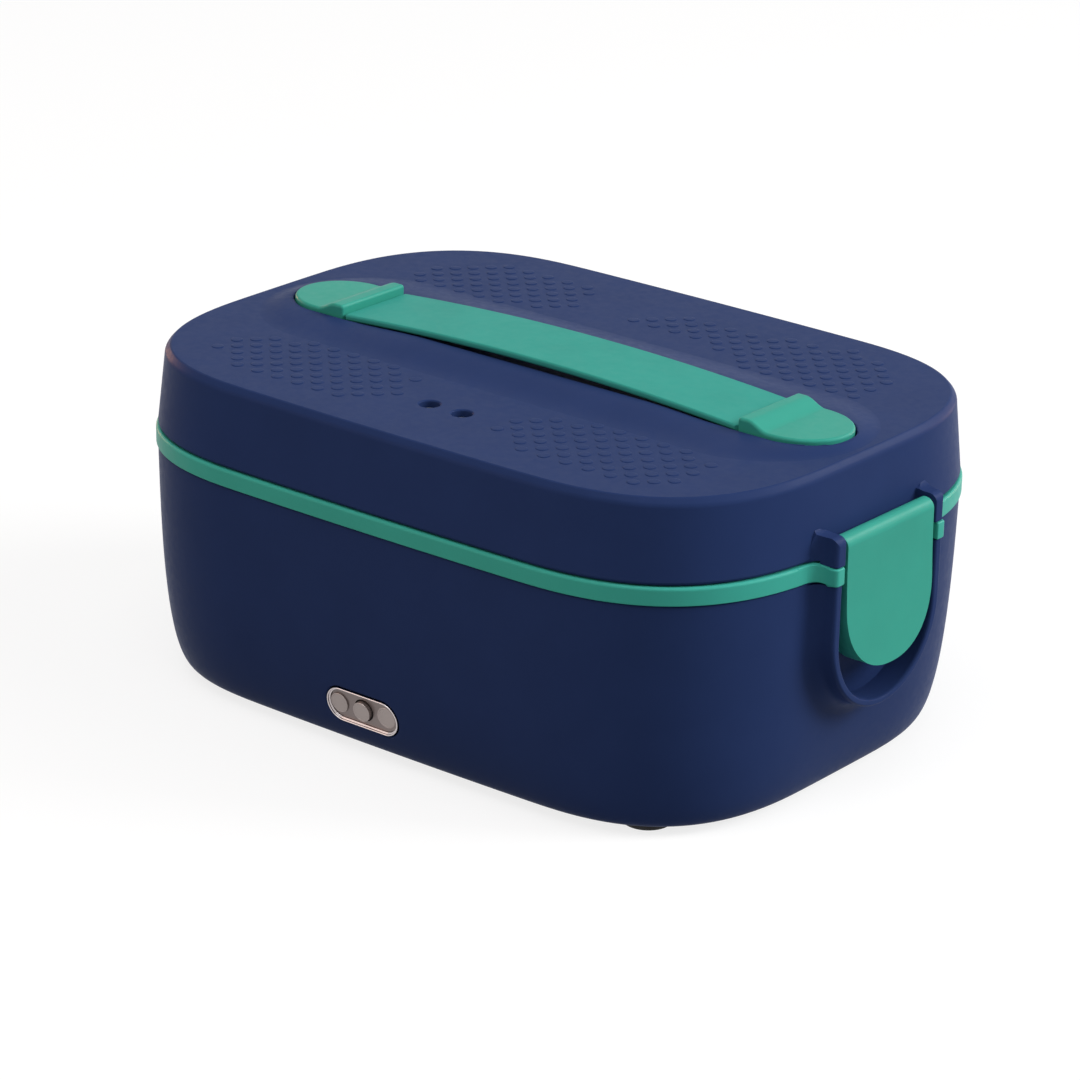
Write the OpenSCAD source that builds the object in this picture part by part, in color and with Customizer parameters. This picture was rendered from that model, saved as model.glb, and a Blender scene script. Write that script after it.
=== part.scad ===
// Electric lunch box: a heated base, a lift-out steel container and a lift-off lid that two
// hinged end latches hold shut. Millimetres, +Z up, the feet stand on z = 0, +X is the long way.

/* [Body] */
// Half of the length at the rim
half_len = 120; // [116:0.5:124]
// Half of the width at the rim
half_wid = 85.3; // [83:0.1:88]
// Reach of a corner's curve along the length
corner_x = 66; // [60:1:70]
// Reach of a corner's curve along the width
corner_y = 70; // [64:1:74]
// Squareness of the corners, where 2 is an ellipse
corner_power = 2.64; // [2.2:0.02:3]
// How far the long sides bow out
side_bow = 2.7; // [0:0.1:3.5]
// How far the ends bow out
end_bow = 0.9; // [0:0.1:1.5]
// Wall thickness of the mouldings
wall = 2.4; // [2:0.1:2.6]

/* [Base] */
// Height of the base's underside above the table
base_z = 2.5; // [2:0.1:3]
// Height of the base's top edge
base_top_z = 77; // [76:0.5:78]
// How much the base wall draws in from top to bottom
base_draft = 1.7; // [1:0.1:2.5]
// Sideways reach of the rounding under the base
base_round_x = 10; // [7:0.5:12]
// Height of the rounding under the base
base_round_z = 70; // [60:1:72]
// Squareness of that rounding
base_round_power = 2.7; // [2:0.1:3]
// Radius of a rubber foot
foot_r = 8; // [6:0.5:8.5]

/* [Rim band] */
// How far the green band stands proud of the wall
band_proud = 0.6; // [0.3:0.1:0.8]
// Height of the green band
band_h = 5.7; // [5:0.1:5.8]

/* [Lid] */
// Height of the lid's top face
lid_top_z = 109; // [108:0.5:111]
// Height of the lid's bottom edge
lid_bottom_z = 83.2; // [83.1:0.1:83.4]
// How much the lid wall draws in from bottom to top
lid_draft = 2.7; // [2:0.1:3.2]
// Radius of the lid's top edge
lid_edge_r = 3.2; // [2.5:0.1:3.6]
// Radius of a steam vent
vent_r = 3.3; // [3:0.1:3.6]
// Distance between the two steam vents
vent_pitch = 12.8; // [11:0.2:15]

/* [Handle] */
// Half of the length of the handle, cap end to cap end
handle_half = 107.1; // [105:0.1:108]
// Width of a handle cap
cap_w = 30.7; // [30.4:0.1:33]
// Length of a handle cap
cap_len = 28.8; // [27:0.1:31]
// Height of a cap's raised lip
lip_z = 114.7; // [114.2:0.1:115.4]
// Width of the strap
strap_w = 30; // [28:0.1:30.4]
// Thickness of the strap
strap_t = 2.2; // [2:0.1:2.5]
// How far the strap arches up between the caps
strap_rise = 3.2; // [2.6:0.1:4]

/* [Latches] */
// Half of the width of a latch tongue
tongue_half = 22.5; // [21.5:0.1:22.9]
// Height of the tongue's lower end
tongue_z = 45.2; // [43:0.1:46]
// Distance of a latch's outer face from the middle of the box, level with its hinge
latch_face_x = 127.6; // [127.4:0.1:128]
// How far a tongue leans out at its lower end
tongue_lean = 3.3; // [1:0.1:3.6]
// Half of the width of the guard round a latch
guard_half = 27.7; // [27.2:0.1:28.2]
// Radius of a hinge pin
pin_r = 1.5; // [1.2:0.1:1.7]

/* [Power inlet] */
// Width of the chromed bezel
inlet_w = 28.5; // [28:0.1:31]
// Height of the chromed bezel
inlet_h = 11.6; // [10.8:0.1:12]

/* [Hidden] */
$fn = 48;
eps = 0.05;
navy = [0.15, 0.2, 0.4];
green = [0.16, 0.55, 0.47];
steel = [0.75, 0.76, 0.78];
dark = [0.1, 0.1, 0.11];

// Plan of the box: one loop of points and their outward normals
corner_steps = 12;
side_steps = 4;
flat_x = half_len - corner_x;
flat_y = half_wid - corner_y;
function corner_point(t) = [flat_x + corner_x * pow(cos(t), 2 / corner_power),
    flat_y + corner_y * pow(sin(t), 2 / corner_power)];
corner = [for (k = [0:corner_steps]) corner_point(90 * k / corner_steps)];
corner_back = [for (k = [corner_steps:-1:0]) corner[k]];
function flip(points, sx, sy) = [for (p = points) [sx * p[0], sy * p[1]]];
long_side = [for (k = [1:side_steps - 1]) [flat_x * (1 - 2 * k / side_steps), half_wid]];
short_side = [[half_len, 0]];
plan_square = concat(corner, long_side, flip(corner_back, -1, 1), flip(short_side, -1, 1),
    flip(corner, -1, -1), flip(long_side, -1, -1), flip(corner_back, 1, -1), short_side);
plan_count = len(plan_square);
function bowed(p) = [p[0] + sign(p[0]) * end_bow * (1 - pow(p[1] / half_wid, 2)),
    p[1] + sign(p[1]) * side_bow * (1 - pow(p[0] / half_len, 2))];
plan = [for (p = plan_square) bowed(p)];
function along(i) = plan[(i + 1) % plan_count] - plan[(i + plan_count - 1) % plan_count];
plan_normal = [for (i = [0:plan_count - 1]) let (d = along(i)) [d[1], -d[0]] / norm(d)];

// A profile is a list of [offset from the plan, height], with its outside on the right
function ring(q) = [for (i = [0:plan_count - 1])
    [plan[i][0] + q[0] * plan_normal[i][0], plan[i][1] + q[0] * plan_normal[i][1], q[1]]];
function skin_points(profile) = [for (q = profile) each ring(q)];
function skin_faces(rings, closed) = [for (r = [0:rings - (closed ? 1 : 2)])
    for (i = [0:plan_count - 1]) let (a = r * plan_count, b = ((r + 1) % rings) * plan_count,
        j = (i + 1) % plan_count) [a + i, b + i, b + j, a + j]];

// Band: a closed profile swept all round the plan
module band(profile) {
    polyhedron(skin_points(profile), skin_faces(len(profile), true), 10);
}

// Cup: an open profile swept round the plan and closed by its first and last rings
module cup(profile) {
    last = (len(profile) - 1) * plan_count;
    caps = [[for (i = [0:plan_count - 1]) i], [for (i = [plan_count - 1:-1:0]) last + i]];
    polyhedron(skin_points(profile), concat(skin_faces(len(profile), false), caps), 10);
}

function reversed(list) = [for (i = [len(list) - 1:-1:0]) list[i]];

// Outside of the base, from its underside up
base_steps = 8;
function base_point(t) = let (z = base_z + base_round_z * (1 - pow(sin(t), 2 / base_round_power)),
    x = base_round_x * (1 - pow(cos(t), 2 / base_round_power)))
    [-base_draft * (base_top_z - z) / (base_top_z - base_z) - x, z];
base_outside = concat([for (k = [0:base_steps]) base_point(90 * (1 - k / base_steps))],
    [[0, base_top_z]]);
floor_top_z = 6.8;
base_inside = [for (q = base_outside) if (q[1] > floor_top_z) [q[0] - wall, q[1]]];
ledge_z = base_top_z - 3;
ledge_in = -5.2;
rebate_z = 4.6;
rebate_out = -31.5;
floor_in = -14;
opening_in = -39;

// Feet, cover screws and the chamber's posts
foot_x = 85.8;
foot_y = 60;
foot_pocket = 1.2;
foot_bevel = 0.8;
post_x = 66;
post_y = 38;
post_r = 4.2;
cover_z = 2.7;
cover_t = 1.7;
boss_top_z = 6.4;
screw_r = 1.4;
screw_head_r = 3;
screw_head_h = 1.7;
cover_screw_len = 10;
screw_fit = 0.03;
sink_depth = 1.9;

// Chamber, heating plate and container
band_z = base_top_z + 0.2;
band_top_z = band_z + band_h;
band_in = -2.7;
seat_in = -8;
flange_z = base_top_z + 0.05;
flange_top_z = base_top_z + 2.6;
chamber_out = -10.2;
chamber_in = -12;
chamber_foot = -24.2;
chamber_floor_z = 20;
chamber_floor_t = 2;
plate_z = 22.1;
plate_t = 1.2;
plate_edge = -27;
pan_z = 23.6;
pan_top_z = 83;
pan_t = 0.8;
pan_wall = -13;
pan_lip = -4;
pan_foot = -29;

// Heater well in the chamber floor
well_x = 150;
well_y = 60;
heater_x = 118;
heater_y = 26;
heater_z = 15;
clamp_t = 1.4;
clamp_x = 30;
clamp_lug_x = 12;
clamp_lug_y = 13;
tab_w = 8;
tab_t = 1.2;
thermostat_at = [47, 20];
thermostat_r = 6.2;
thermostat_h = 6.5;
fuse_at = [-46.5, 20];
fuse_len = 15;
fuse_r = 2.2;
fuse_wire_r = 0.7;
fuse_wire = 5;

// Heat shield over the base cover, on four pillars
shield_x = 110;
shield_y = 84;
shield_z = 8.4;
shield_t = 0.8;
shield_notch_x = 40;
shield_notch_y = 14;
pillar_x = 46;
pillar_y = 15;
pillar_r = 2.6;

// Lid
inner_top_z = lid_top_z - wall;
liner_z = 86.6;
liner_t = 2;
gasket_z = 84.1;
gasket_out = -6.4;
gasket_in = -10.6;
rib_z = 84.7;
pocket_z = 105.8;
pocket_gap = 0.5;
handle_x = 3;
crown_z = 110.8;
crown_end = 4.2;
crown_side = 21.5;
crown_brim = 1;
vent_x = 1.5;
vent_y = -55.5;

// Handle caps
cap_z = pocket_z;
cap_flat_z = 112.1;
lip_flat = 3.8;
lip_run = 7;
insert_w = strap_w - 3.5;
insert_t = 1.5;
slot_z = 109.5;
slot_w = insert_w + 0.6;
slot_h = insert_t + 0.4;
slot_depth = 11.5;
strap_end_z = slot_z + 0.2;
strap_face = handle_half - cap_len;
grip_half = 44;
cap_post_r = 2.4;
cap_post_in = 7;
cap_post_y = 8;
cap_screw_len = 6.4;
cap_hole_top_z = 109.8;

// Latches
pin_z = 86.9;
barrel_r = 3.2;
pin_x = latch_face_x - barrel_r;
tongue_t = 3.1;
skirt_x = 121.9;
skirt_t = 2;
hook_x = 122;
hook_z = 49.6;
hook_t = 3;
hook_half = 9;
catch_x = 122.9;
catch_z = 54;
catch_t = 2.6;
guard_t = 3.4;
guard_low_t = 2.2;
guard_x = latch_face_x + 0.1;
guard_root_x = 118;
guard_foot_z = 30.8;
guard_top_z = 76.2;
ear_t = 4.3;
ear_root_z = 83.4;
ear_z = 82.2;
ear_top_z = 91;
horn_z = 93.4;
ear_root_x = 118.5;
ear_low_x = 121.8;
tab_x = 120;
tab_low_x = 121.2;
tab_face_x = guard_x + 1.3;
tab_root_z = 77.1;
tab_z = 76.3;
tab_top_z = 82;
tab_in = 23.4;
tab_out = 28.6;
bore_r = pin_r + 0.02;
bore_end = 26.3;

// Power inlet, on the front wall low down, square to the leaning wall
inlet_x = -6.3;
inlet_y = -84;
inlet_z = 16.3;
inlet_lean = 10;
contact_pitch = 9.3;
contact_r = 3.7;
earth_r = 3.4;
plate_front = -1.1;
housing_depth = 9;
bezel_depth = 1.85;
bezel_proud = 0.2;
bezel_t = 0.85;
inlet_gap = 0.5;
flange_depth = 5.2;
flange_t = 2.2;
flange_reach = 4;
earth_ring = 0.3;
contact_stub = 1.5;
tail_len = 3;
lead_r = 1.1;

module mirrored_end() {
    mirror([1, 0, 0]) children();
}

module at_four(x, y) {
    for (sx = [-1, 1]) for (sy = [-1, 1]) translate([sx * x, sy * y, 0]) children();
}

// A flat-sided oval, w long and h high, round at both ends
module oval(w, h) {
    union() {
        square([w - h, h], center = true);
        for (s = [-1, 1]) translate([s * (w - h) / 2, 0]) circle(d = h);
    }
}

// The shape of a latch seen from its end of the box: straight sides and a round foot
module tongue_outline(half, foot_z, top_z) {
    union() {
        translate([-half, foot_z + half]) square([2 * half, top_z - foot_z - half]);
        intersection() {
            translate([0, foot_z + half]) circle(r = half, $fn = 96);
            translate([-half, foot_z]) square([2 * half, half + 1]);
        }
    }
}

// Extrude an outline drawn in y and z along x, from x0 to x1
module along_x(x0, x1) {
    translate([x0, 0, 0]) rotate([90, 0, 90]) linear_extrude(x1 - x0) children();
}

// Extrude an outline drawn in x and z along y, centred on y = 0
module along_y(width) {
    translate([0, width / 2, 0]) rotate([90, 0, 0]) linear_extrude(width) children();
}

module at_inlet() {
    translate([inlet_x, inlet_y, inlet_z]) rotate([90 + inlet_lean, 0, 0]) children();
}

module guard() {
    difference() {
        along_x(guard_root_x, guard_x) tongue_outline(guard_half, guard_foot_z, guard_top_z);
        along_x(guard_root_x - 1, guard_x + 1)
            tongue_outline(guard_half - guard_t, guard_foot_z + guard_low_t, guard_top_z + 1);
    }
}

module catch() {
    along_y(2 * (hook_half + 1))
        polygon([[guard_root_x + 1, catch_z], [catch_x, catch_z], [catch_x, catch_z + 1],
            [guard_root_x + 2, catch_z + catch_t + 1.5], [guard_root_x + 1, catch_z + catch_t + 1.5]]);
}

module base_shell() {
    color(navy) difference() {
        union() {
            band(concat(base_outside, [[ledge_in, base_top_z], [ledge_in, ledge_z]],
                reversed([for (q = base_inside) if (q[1] < ledge_z - 2) q]),
                [[floor_in, floor_top_z], [opening_in, floor_top_z], [opening_in, rebate_z],
                    [rebate_out, rebate_z], [rebate_out, base_z]]));
            guard();
            catch();
            mirrored_end() guard();
            mirrored_end() catch();
        }
        at_four(foot_x, foot_y) translate([0, 0, base_z - 1])
            cylinder(r = foot_r + 0.1, h = foot_pocket + 1);
        at_inlet() translate([0, 0, -housing_depth]) linear_extrude(2 * housing_depth)
            oval(inlet_w + 2 * inlet_gap, inlet_h + 2 * inlet_gap);
    }
}

module base_cover() {
    color(dark) difference() {
        union() {
            cup([[rebate_out - 0.4, cover_z], [rebate_out - 0.4, cover_z + cover_t]]);
            at_four(post_x, post_y) translate([0, 0, cover_z])
                cylinder(r = post_r + 1.2, h = boss_top_z - cover_z);
            at_four(pillar_x, pillar_y) translate([0, 0, cover_z])
                cylinder(r = pillar_r, h = shield_z - cover_z);
        }
        at_four(post_x, post_y) {
            translate([0, 0, cover_z - 1]) cylinder(r = screw_head_r + 0.3, h = sink_depth + 1);
            translate([0, 0, cover_z]) cylinder(r = screw_r + 0.25, h = 2 * boss_top_z);
        }
    }
}

module cover_screws() {
    color(steel) at_four(post_x, post_y) union() {
        translate([0, 0, cover_z + sink_depth - screw_head_h]) cylinder(r = screw_head_r, h = screw_head_h);
        translate([0, 0, cover_z + sink_depth - eps]) cylinder(r = screw_r, h = cover_screw_len);
    }
}

module rubber_feet() {
    color([0.05, 0.05, 0.055]) at_four(foot_x, foot_y) union() {
        cylinder(r1 = foot_r - foot_bevel, r2 = foot_r, h = foot_bevel);
        translate([0, 0, foot_bevel]) cylinder(r = foot_r, h = base_z + foot_pocket - foot_bevel - eps);
    }
}

module rim_tab() {
    for (s = [-1, 1]) translate([0, s * (tab_in + tab_out) / 2, 0]) along_y(tab_out - tab_in)
        polygon([[tab_x, tab_root_z], [tab_low_x, tab_root_z], [tab_low_x, tab_z], [tab_face_x, tab_z],
            [tab_face_x, tab_top_z], [tab_x, tab_top_z]]);
}

module rim_band() {
    color(green) union() {
        band([[band_in, band_z], [band_proud, band_z], [band_proud, band_top_z - 0.5],
            [band_proud - 0.5, band_top_z], [seat_in, band_top_z], [seat_in, flange_top_z + 0.2],
            [band_in, flange_top_z + 0.2]]);
        rim_tab();
        mirrored_end() rim_tab();
    }
}

module heating_chamber() {
    color([0.3, 0.31, 0.33]) difference() {
        union() {
            cup([[chamber_foot, chamber_floor_z], [chamber_out - 4, chamber_floor_z + 5.5],
                [chamber_out, chamber_floor_z + 16], [chamber_out, flange_z],
                [band_in - 0.3, flange_z], [band_in - 0.3, flange_top_z], [chamber_in, flange_top_z],
                [chamber_in, chamber_floor_z + 16.5], [chamber_in - 3.8, chamber_floor_z + 7],
                [chamber_foot - 0.8, chamber_floor_z + chamber_floor_t]]);
            at_four(post_x, post_y) translate([0, 0, boss_top_z + 0.05])
                cylinder(r = post_r, h = chamber_floor_z - boss_top_z + 0.5);
        }
        translate([-well_x / 2, -well_y / 2, chamber_floor_z - 1]) cube([well_x, well_y, 4]);
        at_four(post_x, post_y) cylinder(r = screw_r + screw_fit, h = chamber_floor_z - 2);
    }
}

module heating_plate() {
    color(steel) difference() {
        cup([[plate_edge, plate_z], [plate_edge, plate_z + plate_t]]);
        clamp_places() translate([0, 0, plate_z - 1]) cylinder(r = screw_r + screw_fit, h = plate_t + 0.7);
    }
}

module ptc_heater() {
    color([0.7, 0.71, 0.72]) union() {
        translate([-heater_x / 2, -heater_y / 2, heater_z]) cube([heater_x, heater_y, plate_z - heater_z]);
        for (s = [-1, 1]) translate([s * (heater_x + tab_w) / 2 - tab_w / 2, -tab_w / 2,
            heater_z + 2 * tab_t]) cube([tab_w, tab_w, tab_t]);
    }
}

module clamp_places() {
    at_four(clamp_x, heater_y / 2 + 8) children();
}

module heater_clamp() {
    color([0.6, 0.6, 0.58]) difference() {
        union() {
            translate([-clamp_x - clamp_lug_x / 2, -heater_y / 2 - 1.5, heater_z - clamp_t])
                cube([2 * clamp_x + clamp_lug_x, heater_y + 3, clamp_t]);
            for (s = [-1, 1]) translate([s * clamp_x - clamp_lug_x / 2, -heater_y / 2 - clamp_lug_y,
                heater_z - clamp_t]) cube([clamp_lug_x, heater_y + 2 * clamp_lug_y, clamp_t]);
        }
        clamp_places() translate([0, 0, heater_z - 5]) cylinder(r = screw_r + 0.3, h = 8);
    }
}

module clamp_screws() {
    color(steel) clamp_places() union() {
        translate([0, 0, heater_z - clamp_t - screw_head_h]) cylinder(r = screw_head_r, h = screw_head_h);
        translate([0, 0, heater_z - clamp_t - 0.1])
            cylinder(r = screw_r, h = plate_z - heater_z + clamp_t + 0.9);
    }
}

module thermostat() {
    color([0.55, 0.5, 0.42]) translate([thermostat_at[0], thermostat_at[1], plate_z - thermostat_h])
        union() {
            cylinder(r = thermostat_r, h = thermostat_h);
            for (s = [-1, 1]) translate([s * (thermostat_r + 1) - 3, -1.5, -1]) cube([6, 3, tab_t]);
        }
}

module thermal_fuse() {
    color([0.8, 0.78, 0.72]) translate([fuse_at[0], fuse_at[1], plate_z - fuse_r - 0.1])
        rotate([0, 90, 0]) union() {
            cylinder(r = fuse_r, h = fuse_len, center = true);
            cylinder(r = fuse_wire_r, h = fuse_len + 2 * fuse_wire, center = true);
        }
}

module heat_shield() {
    color([0.82, 0.82, 0.84]) difference() {
        translate([-shield_x / 2, -shield_y / 2, shield_z]) cube([shield_x, shield_y, shield_t]);
        translate([-shield_notch_x / 2, -shield_y / 2 - 1, shield_z - 1])
            cube([shield_notch_x, shield_notch_y + 1, shield_t + 2]);
    }
}

module inlet_housing() {
    color(dark) at_inlet() difference() {
        union() {
            translate([0, 0, -housing_depth]) linear_extrude(housing_depth - bezel_depth - eps)
                oval(inlet_w - 1, inlet_h - 1);
            translate([0, 0, -flange_depth]) linear_extrude(flange_t)
                oval(inlet_w + 2 * flange_reach, inlet_h - 0.6);
        }
        for (k = [-1:1]) translate([k * contact_pitch, 0, -housing_depth - 1])
            cylinder(r = (k == 0 ? earth_r : contact_r) + screw_fit, h = housing_depth + 3);
    }
}

module inlet_bezel() {
    color(steel) at_inlet() translate([0, 0, -bezel_depth]) linear_extrude(bezel_depth + bezel_proud)
        difference() {
            oval(inlet_w, inlet_h);
            oval(inlet_w - 2 * bezel_t, inlet_h - 2 * bezel_t);
        }
}

module inlet_plate() {
    color([0.5, 0.46, 0.45]) at_inlet() difference() {
        translate([0, 0, -bezel_depth]) linear_extrude(plate_front + bezel_depth)
            oval(inlet_w - 2 * bezel_t - 2 * eps, inlet_h - 2 * bezel_t - 2 * eps);
        for (k = [-1:1]) translate([k * contact_pitch, 0, -bezel_depth - 1])
            cylinder(r = (k == 0 ? earth_r + earth_ring : contact_r + eps), h = bezel_depth + 2);
    }
}

tail_depth = housing_depth + contact_stub + tail_len;

// A contact: k places it, r is its radius and front is how far its face reaches
module contact(k, r, front) {
    color([0.56, 0.52, 0.5]) at_inlet() translate([k * contact_pitch, 0, 0]) union() {
        translate([0, 0, -housing_depth - contact_stub])
            cylinder(r = r, h = housing_depth + contact_stub + front);
        translate([0, 0, -tail_depth]) cylinder(r = lead_r + 0.5, h = tail_len + 0.2);
    }
}

module contact_left() {
    contact(-1, contact_r, plate_front + 0.7);
}

module contact_center() {
    contact(0, earth_r, plate_front + 2.4);
}

module contact_right() {
    contact(1, contact_r, plate_front + 0.05);
}

// A lead: a round tube swept along a route of points
lead_sides = 8;
function unit(v) = v / norm(v);
function heading(route, i) = unit(route[min(i + 1, len(route) - 1)] - route[max(i - 1, 0)]);
function lead_ring(p, t) = let (u = unit(cross(t, [0.3, 0.2, 1])), v = cross(t, u))
    [for (k = [0:lead_sides - 1]) p + lead_r * (cos(360 * k / lead_sides) * u
        + sin(360 * k / lead_sides) * v)];

module lead(route, tint) {
    count = len(route);
    points = [for (i = [0:count - 1]) each lead_ring(route[i], heading(route, i))];
    sides = [for (i = [0:count - 2]) for (k = [0:lead_sides - 1])
        let (a = i * lead_sides, b = a + lead_sides, m = (k + 1) % lead_sides)
        [a + k, a + m, b + m, b + k]];
    first = [for (k = [lead_sides - 1:-1:0]) k];
    last = [for (k = [0:lead_sides - 1]) (count - 1) * lead_sides + k];
    color(tint) polyhedron(points, concat(sides, [first, last]), 10);
}

// Where a contact's tail ends, k places along the inlet
function tail(k) = [inlet_x + k * contact_pitch,
    inlet_y + tail_depth * cos(inlet_lean), inlet_z + tail_depth * sin(inlet_lean)];
lead_start = [0, 0.1, 0];
lead_dip = [0, 4, -1];

module lead_live() {
    lead([tail(-1) + lead_start, tail(-1) + lead_dip, [-17, -61, 16], [-22, -53, 13.5],
        [-32, -42, 12], [-48, -31, 12], [-62, -20, 13], [-71, -11, 15], [-74, -4, 17],
        [-72, 0, 18], [-67.2, 0.5, 18]], [0.5, 0.3, 0.15]);
}

module lead_earth() {
    lead([tail(0) + lead_start, tail(0) + lead_dip, [-6, -61, 16], [-6, -53, 13.5],
        [-5, -42, 12.2], [-3, -32, 12.4], [-1, -24, 13.4], [0, -19, 14.1], [0, -14.7, 14.3]],
        [0.35, 0.6, 0.2]);
}

module lead_neutral() {
    lead([tail(1) + lead_start, tail(1) + lead_dip, [5, -61, 16], [10, -53, 13.5],
        [28, -42, 12], [46, -31, 12], [61, -20, 13], [71, -11, 15], [74, -4, 17],
        [72, 0, 18], [67.2, 0.5, 18]], [0.15, 0.3, 0.6]);
}

module food_container() {
    color(steel) cup([[pan_foot, pan_z], [pan_wall - 5.4, pan_z + 4.6], [pan_wall - 1, pan_z + 14],
        [pan_wall, pan_top_z], [pan_lip, pan_top_z], [pan_lip, pan_top_z + pan_t],
        [pan_wall - pan_t, pan_top_z + pan_t], [pan_wall - 1 - pan_t, pan_z + 14.2],
        [pan_wall - 6, pan_z + 5.3], [pan_foot - 0.3, pan_z + pan_t]]);
}

// The lid's outer wall from its bottom edge up to its flat top
lid_steps = 5;
function lid_offset(z) = -lid_draft * (z - lid_bottom_z) / (lid_top_z - lid_bottom_z);
function lid_edge(t) = let (z = lid_top_z - lid_edge_r * (1 - sin(t)))
    [lid_offset(z) - lid_edge_r * (1 - cos(t)), z];
lid_outside = concat([[0, lid_bottom_z]], [for (k = [0:lid_steps]) lid_edge(90 * k / lid_steps)]);

module handle_pocket(z0, z1, grow) {
    translate([handle_x, 0, z0]) linear_extrude(z1 - z0)
        oval(2 * (handle_half + grow), cap_w + 2 * grow);
}

// The low swelling of the lid's top that rises to the rim of the handle's pocket
module lid_crown() {
    brim = pocket_gap + crown_brim;
    translate([handle_x, 0, 0]) hull() {
        translate([0, 0, lid_top_z - wall]) linear_extrude(wall)
            oval(2 * (handle_half + pocket_gap + crown_end), cap_w + 2 * (pocket_gap + crown_side));
        translate([0, 0, crown_z - eps]) linear_extrude(eps) oval(2 * (handle_half + brim), cap_w + 2 * brim);
    }
}

// An ear that holds one end of a hinge pin, seen from the side
ear_steps = 5;
ear_corner_r = 4;
module ear_outline() {
    corner_c = [guard_x - ear_corner_r, ear_top_z - ear_corner_r];
    horn_run = corner_c[0] - ear_root_x;
    polygon(concat([[ear_root_x, ear_root_z], [ear_low_x, ear_root_z], [ear_low_x, ear_z], [guard_x, ear_z]],
        [for (k = [0:ear_steps]) corner_c + ear_corner_r * [cos(90 * k / ear_steps),
            sin(90 * k / ear_steps)]],
        [for (k = [1:ear_steps]) [corner_c[0] - horn_run * k / ear_steps,
            ear_top_z + (horn_z - ear_top_z) * pow(k / ear_steps, 2)]]));
}

module ears() {
    for (s = [-1, 1]) translate([0, s * (guard_half - ear_t / 2), 0]) along_y(ear_t) ear_outline();
}

module pin_bores() {
    translate([pin_x, bore_end, pin_z]) rotate([90, 0, 0]) cylinder(r = bore_r, h = 2 * bore_end);
}

module vent_holes(r, z0, z1) {
    for (s = [-1, 1]) translate([vent_x + s * vent_pitch / 2, vent_y, z0]) cylinder(r = r, h = z1 - z0);
}

module lid_shell() {
    color(navy) difference() {
        union() {
            cup(concat([[lid_offset(inner_top_z) - wall - 2, inner_top_z],
                [lid_offset(inner_top_z) - wall, inner_top_z - 2], [-wall, lid_bottom_z]], lid_outside));
            handle_pocket(pocket_z - wall, inner_top_z + 0.5, wall);
            lid_crown();
            ears();
            mirrored_end() ears();
        }
        handle_pocket(pocket_z, crown_z + 1, pocket_gap);
        pin_bores();
        mirrored_end() pin_bores();
        vent_holes(vent_r, inner_top_z - 1, lid_top_z + 1);
        cap_places() translate([0, 0, pocket_z - 2 * wall]) cylinder(r = screw_r + 0.2, h = 3 * wall);
    }
}

module lid_liner() {
    color([0.85, 0.86, 0.87]) difference() {
        union() {
            cup([[gasket_in - 0.9, rib_z], [gasket_in - 0.1, rib_z], [gasket_in - 0.1, liner_z],
                [gasket_out + 0.1, liner_z], [gasket_out + 0.1, rib_z], [gasket_out + 0.9, rib_z],
                [-wall - 0.8, liner_z + 0.4], [-wall - 0.8, liner_z + liner_t]]);
            vent_holes(vent_r + 1.5, liner_z, inner_top_z - 0.1);
        }
        translate([0, 0, rib_z - 1]) cup_core(gasket_in - 1.8, 1 + liner_z - rib_z);
        vent_holes(vent_r, liner_z - 1, lid_top_z);
    }
}

// A plain solid inside the plan at one offset, h high
module cup_core(offset, h) {
    cup([[offset, 0], [offset, h]]);
}

module lid_gasket() {
    color([0.8, 0.82, 0.83]) band([[gasket_in, gasket_z + 0.8], [gasket_in + 0.8, gasket_z],
        [gasket_out - 0.8, gasket_z], [gasket_out, gasket_z + 0.8], [gasket_out, liner_z - eps],
        [gasket_in, liner_z - eps]]);
}

// Side view of a handle cap, from its round end at x = handle_half to the lip at strap_face
cap_steps = 8;
function lip_curve(u) = cap_flat_z + (lip_z - cap_flat_z) * (1 - cos(180 * u)) / 2;
cap_side = concat([[strap_face, cap_z], [handle_half, cap_z], [handle_half, cap_flat_z]],
    [for (k = [0:cap_steps]) [strap_face + lip_flat + lip_run * (1 - k / cap_steps),
        lip_curve(k / cap_steps)]], [[strap_face, lip_z]]);

module cap_places() {
    for (sx = [-1, 1]) for (sy = [-1, 1])
        translate([handle_x + sx * (strap_face + cap_post_in), sy * cap_post_y, 0]) children();
}

module cap_solid() {
    difference() {
        intersection() {
            along_y(cap_w) polygon(cap_side);
            translate([0, 0, cap_z - 1]) linear_extrude(lip_z - cap_z + 2) oval(2 * handle_half, cap_w);
        }
        translate([strap_face - 1, -slot_w / 2, slot_z]) cube([slot_depth + 1, slot_w, slot_h]);
        for (s = [-1, 1]) translate([strap_face + cap_post_in, s * cap_post_y, cap_z - 1])
            cylinder(r = screw_r + screw_fit, h = cap_hole_top_z - cap_z + 1);
    }
    for (s = [-1, 1]) translate([strap_face + cap_post_in, s * cap_post_y, 0]) difference() {
        translate([0, 0, slot_z - 0.5]) cylinder(r = cap_post_r, h = slot_h + 1);
        translate([0, 0, slot_z - 1]) cylinder(r = screw_r + screw_fit, h = cap_hole_top_z - slot_z + 1);
    }
}

module cap_right() {
    color(green) translate([handle_x, 0, 0]) cap_solid();
}

module cap_left() {
    color(green) translate([handle_x, 0, 0]) mirrored_end() cap_solid();
}

module cap_screws() {
    color(steel) cap_places() union() {
        translate([0, 0, pocket_z - wall - screw_head_h - 0.1]) cylinder(r = screw_head_r, h = screw_head_h);
        translate([0, 0, pocket_z - wall - 0.2]) cylinder(r = screw_r, h = cap_screw_len);
    }
}

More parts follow.
